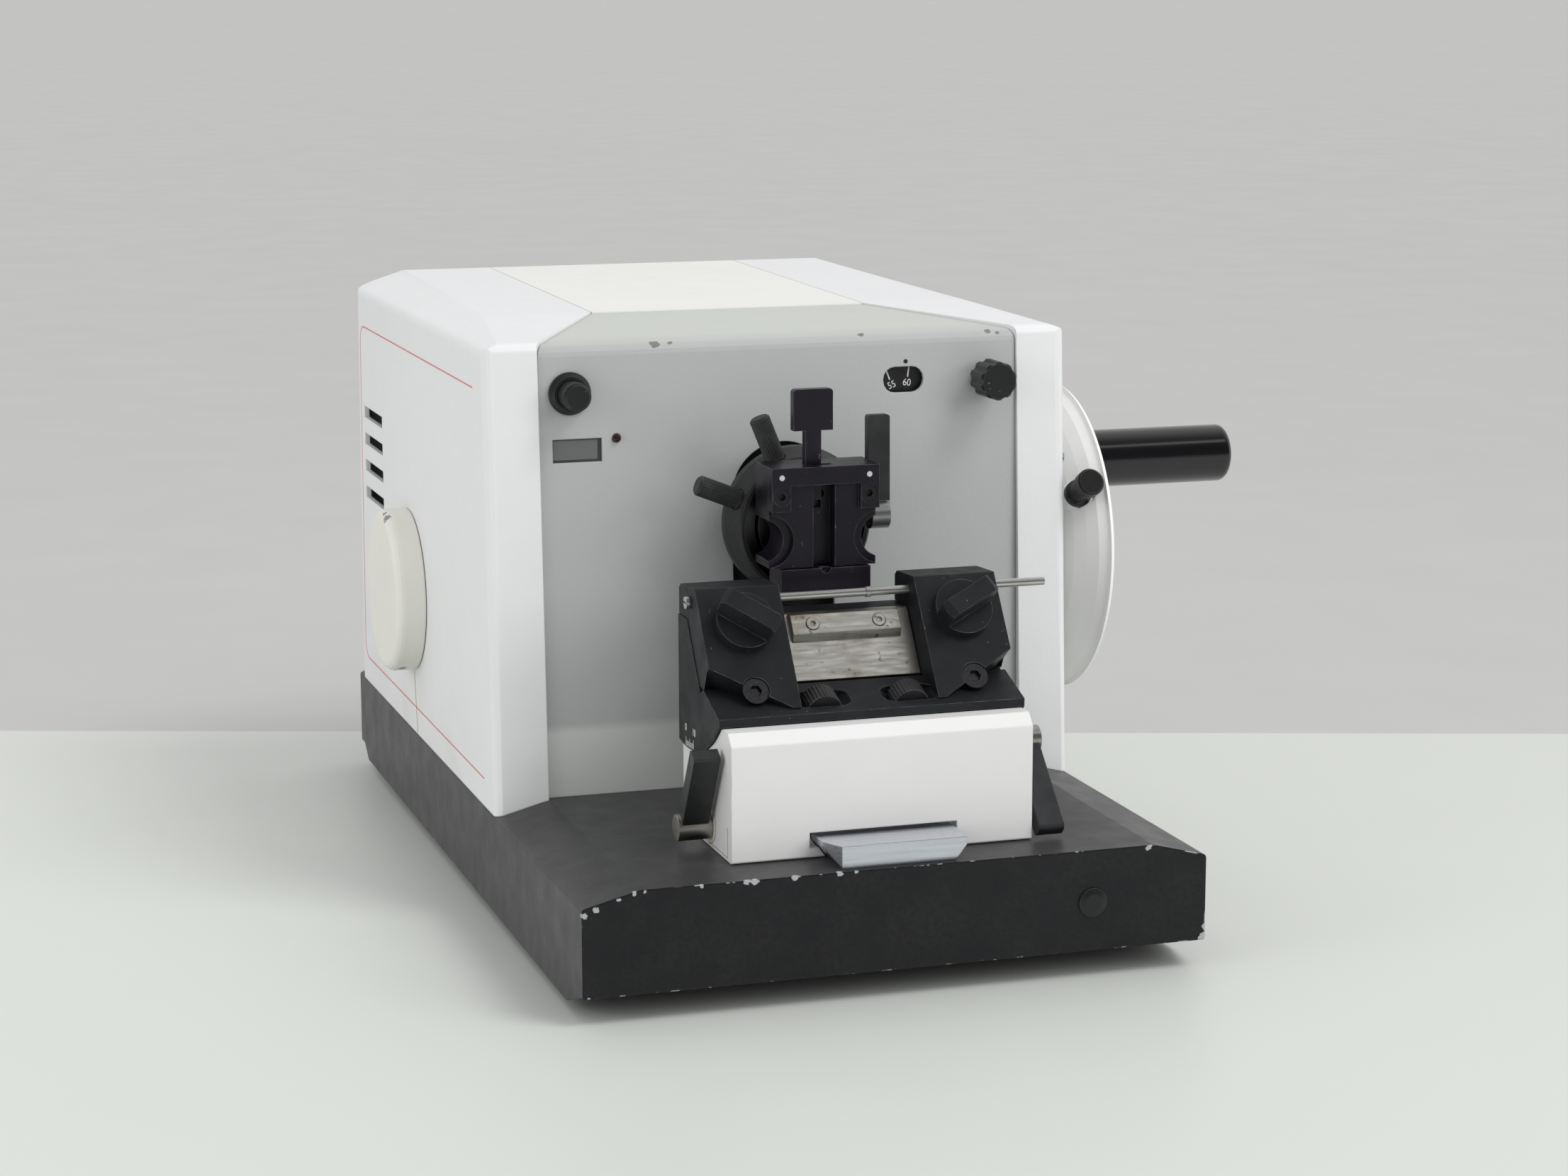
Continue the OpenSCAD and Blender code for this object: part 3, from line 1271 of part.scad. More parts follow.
// One fluted height wheel on its pin
module height_wheel(x) {
    place() color([0.12, 0.12, 0.13]) height_wheel_at(x) {
        difference() {
            cylinder(h = height_wheel_l, r = height_wheel_r, center = true);
            for (i = [0:29])
                rotate([0, 0, i * 12]) translate([height_wheel_r + 0.3, 0, 0])
                    cylinder(h = height_wheel_l + 2, r = 0.7, center = true, $fn = 6);
        }
        translate([0, 0, -height_wheel_l * 0.75])
            cylinder(h = height_wheel_l / 2 + 4, r = 2.5, center = true);
    }
}

module left_height_wheel() {
    height_wheel(-height_wheel_x);
}

module right_height_wheel() {
    height_wheel(height_wheel_x);
}

// One knife jaw: a leaning plate that hooks over the top of the segment
module knife_jaw(side) {
    x0 = side < 0 ? -segment_half + 0.5 : jaw_in_x;
    top_front = jaw_pt((jaw_top_z - jaw_foot[1]) / cos_lean, 0);
    seat_z = jaw_pt(knife_to, jaw_back)[1] + gap;
    outline = [jaw_pt(1.2, 0), top_front, [knife_back_y - 3, jaw_top_z - 1.2],
        [knife_back_y, jaw_top_z - 3.5],
        [knife_back_y, seat_z], jaw_pt(knife_to + 0.2, jaw_back + gap),
        jaw_pt(knife_from + 4, jaw_back + gap),
        [ledge_back_y - 1, ledge_z(ledge_back_y - 1) + gap]];
    difference() {
        slab_x(x0, x0 + jaw_w, rounded(outline, [0.5, 1, 1, 1, 0.5, 0, 0.5, 0.5]));
        jaw_facet(side);
        on_jaw(side * knob_x, 12.5, 0) translate([0, 0, -3]) cylinder(h = 10, r = jaw_screw_r + 0.25);
        on_jaw(side * knob_x, 12.5, 0) translate([0, 0, -jaw_t - 5]) cylinder(h = jaw_t + 6, r = 4.2);
        on_jaw(side * knob_x, 47, 0) translate([0, 0, -jaw_t + 4]) cylinder(h = jaw_t + 6, r = 5 + running);
        rod_x(x0 - cut, x0 + jaw_w + cut, guard_y, guard_z, guard_r);
    }
}

// Facet cut off the jaw's inner lower corner
module jaw_facet(side) {
    x = side * jaw_in_x;
    on_jaw(x, 0, 0) translate([0, 0, -jaw_t / 2]) rotate([0, 0, side * 31])
        translate([side < 0 ? -40 : -22, -40, -30])
        rotate([0, side * 14, 0]) cube([62, 40, 60]);
}

// Both knife jaws
module knife_jaws() {
    place() color([0.13, 0.14, 0.15])
        for (side = [-1, 1])
            knife_jaw(side);
}

// Large socket screws of the jaws
module jaw_screws() {
    place() color([0.13, 0.13, 0.14])
        for (side = [-1, 1])
            on_jaw(side * knob_x, 12.5, 0) difference() {
                union() {
                    translate([0, 0, -2.8]) cylinder(h = 2.2, r = jaw_screw_r);
                    translate([0, 0, -jaw_t]) cylinder(h = jaw_t - 2.8, r = 4);
                }
                translate([0, 0, -2.4]) cylinder(h = 4, r = 3, $fn = 6);
            }
}

// Knife guard rod with its collar and its slotted end
module guard_rod() {
    place() color([0.75, 0.75, 0.76]) {
        rod_x(-segment_half, guard_end_x, guard_y, guard_z, guard_r - 0.01);
        rod_x(12.5, 15, guard_y, guard_z, guard_r + 0.5);
        difference() {
            rod_x(-segment_half - 2, -segment_half, guard_y, guard_z, 3);
            block([-segment_half - 3, guard_y - 4, guard_z - 0.5],
                [-segment_half - 1, guard_y + 4, guard_z + 0.5]);
        }
    }
}

// Steel plate that backs the knife, with the block and its two screws in front of it
module pressure_plate() {
    block_w = 2 * jaw_in_x - 13.8;
    face = jaw_back + gap;
    plate_t = 3.4;
    plate = [jaw_pt(knife_from + 1.5, face), jaw_pt(knife_from + 1.5, face + plate_t),
        jaw_pt(knife_to - 2.5, face + plate_t),
        jaw_pt(knife_to - 1, face + plate_t - 1.5), jaw_pt(knife_to - 1, face)];
    pad = [jaw_pt(42, face + plate_t), jaw_pt(45, face + plate_t + 3.8), jaw_pt(55, face + plate_t + 3.8),
        jaw_pt(57.3, face + plate_t + 2), jaw_pt(57.3, face + plate_t)];
    screw_x = jaw_in_x - 17.5;
    screw_at = 50;
    place() color([0.7, 0.68, 0.62]) {
        slab_x(-jaw_in_x + 0.4, jaw_in_x - 0.4, plate);
        difference() {
            slab_x(-block_w / 2, block_w / 2, pad);
            for (x = [-screw_x, screw_x])
                on_jaw(x, screw_at, face + plate_t + 2.8) cylinder(h = 3, r = 3.4);
        }
        for (x = [-screw_x, screw_x])
            on_jaw(x, screw_at, face + plate_t + 2.7) difference() {
                cylinder(h = 1.6, r = 3.2);
                translate([0, 0, 0.6]) cylinder(h = 2, r = 1.5, $fn = 6);
            }
    }
}

// One jaw knob: a disc with a bar grip across it, on a round shank
module jaw_knob(side, turn) {
    place() color([0.11, 0.11, 0.12]) on_jaw(side * knob_x, 47, 0) {
        translate([0, 0, 0.5]) cylinder(h = 4.5, r = knob_r);
        translate([0, 0, 5]) rotate([0, 0, turn]) intersection() {
            rotate([90, 0, 0]) translate([0, 0, -4.5]) linear_extrude(9)
                polygon(rounded([[-knob_r, 0], [knob_r, 0], [knob_r + 1, knob_grip_h - 3],
                [knob_r - 2, knob_grip_h],
                    [-knob_r + 2, knob_grip_h], [-knob_r - 1, knob_grip_h - 3]], [0, 0, 1, 1, 1, 1]));
            translate([0, 0, -cut]) cylinder(h = knob_grip_h + 2, r = knob_r + 0.8);
        }
        translate([0, 0, -jaw_t + 4.3]) cylinder(h = jaw_t - 3.8, r = 5);
    }
}

module left_jaw_knob() {
    jaw_knob(-1, -36);
}

module right_jaw_knob() {
    jaw_knob(1, 28);
}

base_casting();
rubber_feet();
base_plug();
left_side_cover();
right_side_cover();
top_lid();
front_panel();
rear_panel();
mains_inlet();
display_window();
status_lamp();
mode_collar();
mode_knob();
thickness_knob();
thickness_shaft();
dial_disc();
main_frame();
shaft_bushes();
feed_rails();
feed_motor();
coarse_bracket();
handwheel();
main_shaft();
crank_disc();
grip_spindle();
crank_grip();
wheel_lock_knob();
coarse_wheel();
coarse_shaft();
feed_slide();
guide_rods();
feed_spindle();
slot_shutter();
carriage();
specimen_arm();
head_ring();
nod_screw();
swing_screw();
swivel_ring();
swivel_block();
clamp_body();
clamp_frame();
clamp_screws();
clamp_lever();
lower_jaw();
release_lever();
knife_rail();
knife_base();
rail_lever();
angle_lever();
holder_segment();
knife_jaws();
jaw_screws();
guard_rod();
pressure_plate();
left_jaw_knob();
right_jaw_knob();
left_height_wheel();
right_height_wheel();
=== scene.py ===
import math

import bpy
from mathutils import Matrix, Vector


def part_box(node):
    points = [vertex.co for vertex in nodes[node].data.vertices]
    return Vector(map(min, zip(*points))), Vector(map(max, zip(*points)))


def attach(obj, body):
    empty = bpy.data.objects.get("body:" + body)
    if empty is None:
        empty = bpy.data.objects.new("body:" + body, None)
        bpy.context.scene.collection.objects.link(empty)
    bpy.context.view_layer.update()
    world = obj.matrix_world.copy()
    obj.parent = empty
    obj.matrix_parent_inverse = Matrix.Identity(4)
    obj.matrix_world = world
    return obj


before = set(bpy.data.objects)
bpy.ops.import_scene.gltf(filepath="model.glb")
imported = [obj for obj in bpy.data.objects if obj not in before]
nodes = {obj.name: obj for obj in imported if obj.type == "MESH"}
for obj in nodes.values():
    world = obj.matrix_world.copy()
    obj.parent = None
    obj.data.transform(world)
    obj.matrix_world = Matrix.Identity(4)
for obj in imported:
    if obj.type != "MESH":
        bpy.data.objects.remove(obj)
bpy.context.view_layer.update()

# X and Y run from the middle of the whole object; these lead back to the middle of the base, in metres
MID_X = 0.04315
MID_Y = 0.001


def at(x, y, z):
    """A point in millimetres from the middle of the base, in the row frame in metres."""
    return Vector((x / 1000 - MID_X, y / 1000 + MID_Y, z / 1000))


# Camera, fitted to the photograph; the angles are in radians, the place in millimetres
CAMERA_PLACE = (-509.12, -1684.41, 479.32)
LENS_MM, SENSOR_MM = 76.245, 36.0
yaw, pitch, roll = 0.30886, 0.186366, -0.00185
forward = Vector((math.sin(yaw) * math.cos(pitch), math.cos(yaw) * math.cos(pitch), -math.sin(pitch)))
side = Vector((math.cos(yaw), -math.sin(yaw), 0.0))
upward = side.cross(forward)
right = side * math.cos(roll) + upward * math.sin(roll)
up = upward * math.cos(roll) - side * math.sin(roll)
lens = bpy.data.cameras.new("camera")
lens.sensor_width = SENSOR_MM
lens.lens = LENS_MM
lens.clip_start, lens.clip_end = 0.05, 200.0
camera = bpy.data.objects.new("camera", lens)
bpy.context.collection.objects.link(camera)
turned = Matrix((right, up, -forward)).transposed().to_4x4()
camera.matrix_world = Matrix.Translation(at(*CAMERA_PLACE)) @ turned
bpy.context.scene.camera = camera
bpy.context.scene.view_settings.view_transform = "Standard"


class Surface:
    """A material with the few node patterns that the finishes here share.

    Patterns sit in the object's own space.
    """

    def __init__(self, name, color, roughness, metallic=0.0, **sockets):
        self.mat = bpy.data.materials.new(name)
        self.mat.use_nodes = True
        self.tree = self.mat.node_tree
        self.shader = self.tree.nodes["Principled BSDF"]
        self.place = self.add("ShaderNodeTexCoord").outputs["Object"]
        self.color = tuple(color) + (1.0,)
        self.shader.inputs["Base Color"].default_value = self.color
        self.shader.inputs["Roughness"].default_value = roughness
        self.shader.inputs["Metallic"].default_value = metallic
        for key, value in sockets.items():
            self.shader.inputs[key.replace("_", " ")].default_value = value
        self.base = None
        self.mat.diffuse_color = self.color

    def add(self, kind, **settings):
        node = self.tree.nodes.new(kind)
        for key, value in settings.items():
            setattr(node, key, value)
        return node

    def put(self, socket, value):
        if isinstance(value, bpy.types.NodeSocket):
            self.tree.links.new(value, socket)
        else:
            socket.default_value = value

    def maths(self, operation, a, b=0.0, clamp=False):
        node = self.add("ShaderNodeMath", operation=operation, use_clamp=clamp)
        self.put(node.inputs[0], a)
        self.put(node.inputs[1], b)
        return node.outputs[0]

    def noise(self, scale, detail=3.0, stretch=(1, 1, 1), roughness=0.55):
        place = self.place
        if tuple(stretch) != (1, 1, 1):
            mapping = self.add("ShaderNodeMapping")
            mapping.inputs["Scale"].default_value = stretch
            self.put(mapping.inputs["Vector"], self.place)
            place = mapping.outputs[0]
        node = self.add("ShaderNodeTexNoise")
        self.put(node.inputs["Vector"], place)
        node.inputs["Scale"].default_value = scale
        node.inputs["Detail"].default_value = detail
        node.inputs["Roughness"].default_value = roughness
        return node.outputs["Fac"]

    def span(self, value, low, high, to_low=0.0, to_high=1.0):
        node = self.add("ShaderNodeMapRange", clamp=True)
        for index, item in enumerate((value, low, high, to_low, to_high)):
            self.put(node.inputs[index], item)
        return node.outputs[0]

    def axis(self, index):
        node = self.add("ShaderNodeSeparateXYZ")
        self.put(node.inputs[0], self.place)
        return node.outputs[index]

    def tint(self, amount, color):
        """Mixes a colour over what the base colour is so far."""
        node = self.add("ShaderNodeMix", data_type="RGBA")
        self.put(node.inputs["Factor"], amount)
        colors = [s for s in node.inputs if s.type == "RGBA"]
        self.put(colors[0], self.base if self.base else self.color)
        colors[1].default_value = tuple(color) + (1.0,)
        self.base = [s for s in node.outputs if s.type == "RGBA"][0]
        self.put(self.shader.inputs["Base Color"], self.base)

    def roughen(self, value, low, high):
        self.put(self.shader.inputs["Roughness"], self.span(value, 0.3, 0.7, low, high))

    def relief(self, height, distance, edge=0.0, strength=1.0):
        """Bump from a height pattern, over edges softened by a radius in metres."""
        node = self.add("ShaderNodeBump")
        node.inputs["Strength"].default_value = strength
        node.inputs["Distance"].default_value = distance
        self.put(node.inputs["Height"], height)
        if edge:
            bevel = self.add("ShaderNodeBevel", samples=6)
            bevel.inputs["Radius"].default_value = edge
            self.put(node.inputs["Normal"], bevel.outputs[0])
        self.put(self.shader.inputs["Normal"], node.outputs[0])

    def edges(self, radius, low=0.002, high=0.03):
        """1 close to a sharp edge and 0 away from it."""
        bevel = self.add("ShaderNodeBevel", samples=8)
        bevel.inputs["Radius"].default_value = radius
        normal = self.add("ShaderNodeNewGeometry").outputs["True Normal"]
        dot = self.add("ShaderNodeVectorMath", operation="DOT_PRODUCT")
        self.put(dot.inputs[0], bevel.outputs[0])
        self.put(dot.inputs[1], normal)
        return self.span(self.maths("SUBTRACT", 1.0, dot.outputs["Value"]), low, high)

    def spots(self, points, ragged=0.5):
        """1 within each (x, y, z, radius) in millimetres, with a ragged border."""
        wobble = self.maths("MULTIPLY", self.maths("SUBTRACT", self.noise(420, 3), 0.5), ragged * 2)
        best = None
        for x, y, z, radius in points:
            node = self.add("ShaderNodeVectorMath", operation="DISTANCE")
            self.put(node.inputs[0], self.place)
            node.inputs[1].default_value = at(x, y, z)
            near = self.maths("DIVIDE", node.outputs["Value"], radius / 1000)
            best = near if best is None else self.maths("MINIMUM", best, near)
        return self.span(self.maths("ADD", best, wobble), 0.95, 0.8)


def mottle(surface, scale, color, amount):
    surface.tint(surface.span(surface.noise(scale, 4), 0.42, 0.72, 0.0, amount), color)


def paint(name, color, roughness=0.42, grain=700, depth=0.00005, dirt=(0.45, 0.43, 0.38), dirt_amount=0.10,
          edge=0.0008, **sockets):
    """Sprayed enamel: fine orange peel, soft edges and faint grime."""
    s = Surface(name, color, roughness, **sockets)
    mottle(s, 9, dirt, dirt_amount * 0.6)
    mottle(s, 55, dirt, dirt_amount * 0.4)
    s.roughen(s.noise(30, 3), roughness * 0.88, roughness * 1.14)
    s.relief(s.noise(grain, 2), depth, edge)
    return s


def metal(name, color, roughness=0.3, stretch=(1, 1, 1), scale=900, depth=0.00001, edge=0.0004, spread=0.2,
          **sockets):
    """Bare metal with fine machining marks along one direction."""
    s = Surface(name, color, roughness, 1.0, **sockets)
    marks = s.noise(scale, 3, stretch)
    s.tint(s.span(marks, 0.35, 0.7, 0.0, spread), [c * 0.55 for c in color])
    s.roughen(marks, roughness * 0.8, roughness * 1.25)
    s.relief(marks, depth, edge)
    return s


def black(name, color, roughness=0.45, worn=(0.35, 0.35, 0.36), wear=0.35, grain=1600, depth=0.00002,
          edge=0.0005, **sockets):
    """Black anodised or moulded surface, with lighter, rubbed edges, a painted highlight along every edge and
    a little lint.
    """
    s = Surface(name, color, roughness, **sockets)
    mottle(s, 40, [c * 1.6 + 0.002 for c in color], 0.5)
    rub = s.maths("MULTIPLY", s.edges(edge * 1.1, 0.01, 0.12), s.span(s.noise(140, 4), 0.45, 0.65, 0.0, wear))
    # Painted highlight: a thin lighter line along every edge
    s.tint(s.maths("MULTIPLY", s.edges(edge * 1.5, 0.004, 0.07), 0.5), [c * 0.2 for c in worn])
    s.tint(rub, worn)
    lint = s.span(s.noise(520, 1), 0.76, 0.8, 0.0, 0.25)
    s.tint(lint, (0.4, 0.4, 0.38))
    s.roughen(s.noise(60, 3), roughness * 0.8, roughness * 1.2)
    s.relief(s.noise(grain, 2), depth, edge)
    return s


# Covers, panel and knife base
cover = paint("cover_white", (0.805, 0.81, 0.82), 0.46, 620, 0.00007, dirt_amount=0.07)
# The covers grow darker and yellower towards the bottom
low = cover.span(cover.axis(2), 0.115, 0.06)
lower_darkening = cover.maths("MULTIPLY", low, cover.span(cover.noise(26, 4), 0.45, 0.75, 0.0, 0.30))
cover.tint(lower_darkening, (0.6, 0.58, 0.52))
lid = paint("lid_white", (0.84, 0.84, 0.815), 0.44, 620, 0.00005, dirt=(0.6, 0.53, 0.38), dirt_amount=0.14)
panel = paint("panel_grey", (0.455, 0.465, 0.462), 0.52, 520, 0.0001, dirt=(0.38, 0.4, 0.38),
              dirt_amount=0.16)
# A paler band low on the panel, painted as a pool of light; the hood above it, painted lighter as if lit from
# above; and chips along the hood's edge
LIT_BAND_TOP, LIT_HOOD_FROM = 0.101, 0.2912
HOOD_CHIPS = [(-66, -83, 292.3, 3.2), (-58, -83, 292.0, 1.8), (44, -82, 293, 2.6), (113, -83, 292.5, 2.4),
              (118, -84, 291, 1.6)]
# Painted pool of light: the panel's lower band is tinted paler
panel.tint(panel.span(panel.axis(2), LIT_BAND_TOP, LIT_BAND_TOP - 0.005, 0.0, 0.8), (0.66, 0.68, 0.65))
# Painted highlight: the hood is tinted lighter where light from above falls on it
panel.tint(panel.span(panel.axis(2), LIT_HOOD_FROM, LIT_HOOD_FROM + 0.002), (0.565, 0.588, 0.55))
panel.tint(panel.spots(HOOD_CHIPS, 0.9), (0.2, 0.21, 0.2))
white = paint("knife_base_white", (0.765, 0.765, 0.76), 0.4, 800, 0.00004, dirt=(0.6, 0.52, 0.38),
              dirt_amount=0.1)
grime = white.span(white.noise(70, 4), 0.5, 0.68, 0.0, 0.5)
white.tint(white.maths("MULTIPLY", white.edges(0.0012, 0.01, 0.1), grime), (0.42, 0.34, 0.22))

# Base casting: dark paint with a dusty sheen and chips along its edges
base = Surface("base_anthracite", (0.0065, 0.0065, 0.0085), 0.4, Specular_IOR_Level=0.33, Sheen_Weight=0.12,
               Sheen_Roughness=0.4)
mottle(base, 14, (0.009, 0.009, 0.011), 0.6)
dust = base.maths("MULTIPLY", base.span(base.noise(45, 5), 0.3, 0.75), base.span(base.noise(400, 2), 0.3, 0.6))
base.tint(base.span(dust, 0.1, 0.9, 0.0, 0.015), (0.4, 0.39, 0.36))
chip_zone = base.span(base.axis(1), -0.262, -0.267)
chips = base.maths("MULTIPLY", base.edges(0.0009, 0.006, 0.04), base.span(base.noise(110, 4), 0.6, 0.63))
chips = base.maths("MULTIPLY", chips, chip_zone)
small = base.maths("MULTIPLY", base.edges(0.0006, 0.01, 0.05), base.span(base.noise(160, 4), 0.64, 0.68))
base.tint(base.maths("MAXIMUM", chips, small), (0.5, 0.5, 0.5))
BASE_FRONT = -271
FRONT_CHIPS = [(-154, 53.5, 1.7), (-148, 56, 1.5), (-137.5, 59.5, 1.3), (-130, 62, 1.5), (-125, 62.6, 1.1),
               (-98, 63, 1.1), (-76, 63, 1.8), (-72, 63, 2.0), (-53, 63, 1.7), (-31, 63, 1.8), (-23, 63, 1.1),
               (-152, 13, 1.6), (155, 20, 2.0), (154, 15, 2.4), (125, 62.5, 1.6)]
front_spots = base.spots([(x, BASE_FRONT, z, radius) for x, z, radius in FRONT_CHIPS], 1.1)
base.tint(front_spots, (0.40, 0.40, 0.41))
base.roughen(base.noise(60, 3), 0.34, 0.44)
base.relief(base.noise(650, 2), 0.00012, 0.0012)

# Wheels, knobs and grip
wheel = paint("wheel_cream", (0.93, 0.93, 0.91), 0.34, 300, 0.00002, dirt=(0.6, 0.55, 0.42), dirt_amount=0.08)
coarse = paint("coarse_cream", (0.82, 0.815, 0.755), 0.4, 500, 0.00004, dirt=(0.62, 0.55, 0.36),
               dirt_amount=0.16)
COARSE_CHIPS = [(-163, 72, 128, 2.4), (-170, 71, 112, 1.2), (-164, 91, 96.6, 2.6), (-170, 98, 179, 3.0),
                (-170, 104, 181, 2.0)]
coarse.tint(coarse.spots(COARSE_CHIPS, 1.0), (0.25, 0.26, 0.27))
grip = Surface("grip_black", (0.004, 0.004, 0.005), 0.2, Coat_Weight=0.5, Coat_Roughness=0.08,
               Specular_IOR_Level=0.4)
grip.roughen(grip.noise(50, 3, (0.2, 1, 1)), 0.18, 0.28)
grip.relief(grip.noise(200, 2), 0.000008, 0.0008)
plastic = black("black_plastic", (0.011, 0.011, 0.012), 0.36, wear=0.12, Specular_IOR_Level=0.4)
dark = black("black_metal", (0.014, 0.014, 0.016), 0.42, wear=0.3)
clamp = black("clamp_black", (0.0075, 0.0055, 0.0105), 0.34, worn=(0.3, 0.26, 0.34), wear=0.4,
              Specular_IOR_Level=0.3)
anodised = black("anodised_black", (0.0125, 0.0135, 0.0155), 0.5, worn=(0.3, 0.31, 0.32), wear=0.35,
                 grain=2200, Specular_IOR_Level=0.3)
rubber = Surface("foot_rubber", (0.12, 0.06, 0.045), 0.8)
mottle(rubber, 120, (0.05, 0.03, 0.025), 0.6)
rubber.relief(rubber.noise(600, 2), 0.00005, 0.001)

# Metals
steel = metal("bright_steel", (0.66, 0.67, 0.68), 0.22, (0.05, 1, 1))
rail = metal("rail_steel", (0.76, 0.78, 0.85), 0.3, (0.04, 1, 1), 700, 0.000002, 0.0005, 0.04)
rod = metal("rod_steel", (0.74, 0.73, 0.71), 0.38, (0.05, 1, 1), 900, 0.000004)
frame_metal = metal("cast_frame", (0.32, 0.34, 0.35), 0.5, (1, 1, 1), 500, 0.00006)
bronze = metal("bronze", (0.6, 0.42, 0.2), 0.32)
dark_steel = metal("dark_steel", (0.12, 0.12, 0.125), 0.36, (1, 0.1, 1))
insert = metal("insert_steel", (0.66, 0.64, 0.585), 0.36, (0.15, 1, 1), 600, 0.000003, 0.0005, 0.06)
insert.tint(insert.span(insert.noise(75, 6), 0.54, 0.72, 0.0, 0.5), (0.30, 0.26, 0.19))
insert.tint(insert.span(insert.noise(230, 5), 0.63, 0.7, 0.0, 0.7), (0.14, 0.105, 0.07))
insert.tint(insert.span(insert.noise(19, 3), 0.55, 0.7, 0.0, 0.45), (0.45, 0.38, 0.27))
screw = metal("screw_black", (0.07, 0.07, 0.075), 0.34)

# Window, lamp, dial, shutter and motor
# The window's dark border is painted shade of the opening's walls: for each side its axis, where it starts and
# where it is full
WINDOW_SHADE_BORDER = [(2, 0.2443, 0.2446), (2, 0.2348, 0.2345), (0, -0.0972 - MID_X, -0.0968 - MID_X),
                 (0, -0.1198 - MID_X, -0.1200 - MID_X)]
window = Surface("smoked_window", (0.115, 0.12, 0.12), 0.12, Coat_Weight=0.4, Coat_Roughness=0.04)
# Painted shade along each side of the window
for index, start, full in WINDOW_SHADE_BORDER:
    window.tint(window.span(window.axis(index), start, full), (0.016, 0.016, 0.018))
window.relief(window.noise(300, 1), 0.000003)
lamp = Surface("red_lamp", (0.03, 0.008, 0.008), 0.15)
lamp.relief(lamp.noise(800, 1), 0.00001)
dial = Surface("dial_black", (0.012, 0.012, 0.013), 0.5)
mottle(dial, 200, (0.03, 0.03, 0.03), 0.4)
dial.relief(dial.noise(1500, 1), 0.00002)
ink = Surface("white_ink", (0.78, 0.78, 0.76), 0.5)
mottle(ink, 900, (0.5, 0.5, 0.48), 0.4)
red = Surface("red_ink", (0.62, 0.13, 0.13), 0.5)
mottle(red, 900, (0.75, 0.4, 0.38), 0.6)
shutter = black("shutter_black", (0.012, 0.012, 0.012), 0.6, wear=0.1)
motor = paint("motor_black", (0.03, 0.03, 0.032), 0.45)
stain = Surface("seam_stain", (0.45, 0.33, 0.13), 0.6)
mottle(stain, 600, (0.25, 0.18, 0.08), 0.8)

# Two-tone nodes, split by place on the node; the levers' axes run along X, at these heights in metres
LEVER_Y = -0.207
RAIL_LEVER_Z, ANGLE_LEVER_Z = 0.074, 0.10466
LEVER_HUB_R = 0.0066
CLAMP_PIN_Y, CLAMP_PIN_Z, CLAMP_PIN_R = -0.139, 0.208, 0.0069
hub = Surface("lever_with_hub", (0.02, 0.021, 0.023), 0.42)
mottle(hub, 60, (0.05, 0.05, 0.052), 0.5)


def near_axis(s, y, z, radius):
    """1 within a radius of an axis along X, in metres."""
    dy = s.maths("SUBTRACT", s.axis(1), y)
    dz = s.maths("SUBTRACT", s.axis(2), z)
    away = s.maths("SQRT", s.maths("ADD", s.maths("MULTIPLY", dy, dy), s.maths("MULTIPLY", dz, dz)))
    return s.span(away, radius + 0.0001, radius - 0.0001)


steel_part = hub.maths("MAXIMUM", near_axis(hub, LEVER_Y, RAIL_LEVER_Z, LEVER_HUB_R),
                       near_axis(hub, LEVER_Y, ANGLE_LEVER_Z, LEVER_HUB_R))
hub.tint(steel_part, (0.52, 0.5, 0.47))
hub.put(hub.shader.inputs["Metallic"], steel_part)
hub.roughen(hub.noise(160, 3), 0.3, 0.48)
hub.relief(hub.noise(1500, 2), 0.00002, 0.0008)

flat_lever = Surface("lever_black_pin", (0.014, 0.014, 0.016), 0.42)
mottle(flat_lever, 60, (0.04, 0.04, 0.042), 0.5)
pin_part = near_axis(flat_lever, CLAMP_PIN_Y, CLAMP_PIN_Z, CLAMP_PIN_R)
flat_lever.tint(pin_part, (0.5, 0.5, 0.5))
flat_lever.put(flat_lever.shader.inputs["Metallic"], pin_part)
flat_lever.relief(flat_lever.noise(1500, 2), 0.00002, 0.0006)

marks = Surface("clamp_screws_marks", (0.02, 0.02, 0.022), 0.36, 0.6)
marks.tint(marks.span(marks.axis(2), 0.2285, 0.2295), (0.75, 0.75, 0.76))
marks.relief(marks.noise(1500, 1), 0.00001, 0.0003)

FINISH = {
    "base_casting": base, "rubber_feet": rubber, "base_plug": plastic, "left_side_cover": cover,
    "right_side_cover": cover, "top_lid": lid, "front_panel": panel, "rear_panel": cover,
    "mains_inlet": plastic, "display_window": window, "status_lamp": lamp, "mode_collar": plastic,
    "mode_knob": plastic, "thickness_knob": plastic, "thickness_shaft": steel, "dial_disc": dial,
    "main_frame": frame_metal, "shaft_bushes": bronze, "feed_rails": steel, "feed_motor": motor,
    "coarse_bracket": frame_metal, "handwheel": wheel, "main_shaft": steel, "crank_disc": frame_metal,
    "grip_spindle": steel, "crank_grip": grip, "wheel_lock_knob": plastic, "coarse_wheel": coarse,
    "coarse_shaft": steel, "feed_slide": frame_metal, "guide_rods": steel, "feed_spindle": steel,
    "slot_shutter": shutter, "carriage": frame_metal, "specimen_arm": dark_steel, "head_ring": dark,
    "nod_screw": dark, "swing_screw": dark, "swivel_ring": dark_steel, "swivel_block": dark_steel,
    "clamp_body": clamp, "clamp_frame": clamp, "clamp_screws": marks, "clamp_lever": flat_lever,
    "lower_jaw": clamp, "release_lever": clamp, "knife_rail": rail, "knife_base": white, "rail_lever": hub,
    "angle_lever": hub, "holder_segment": anodised, "knife_jaws": anodised, "jaw_screws": screw,
    "guard_rod": rod, "pressure_plate": insert, "left_jaw_knob": anodised, "right_jaw_knob": anodised,
    "left_height_wheel": dark, "right_height_wheel": dark,
}
for name, node in nodes.items():
    node.data.materials.clear()
    node.data.materials.append(FINISH[name].mat)


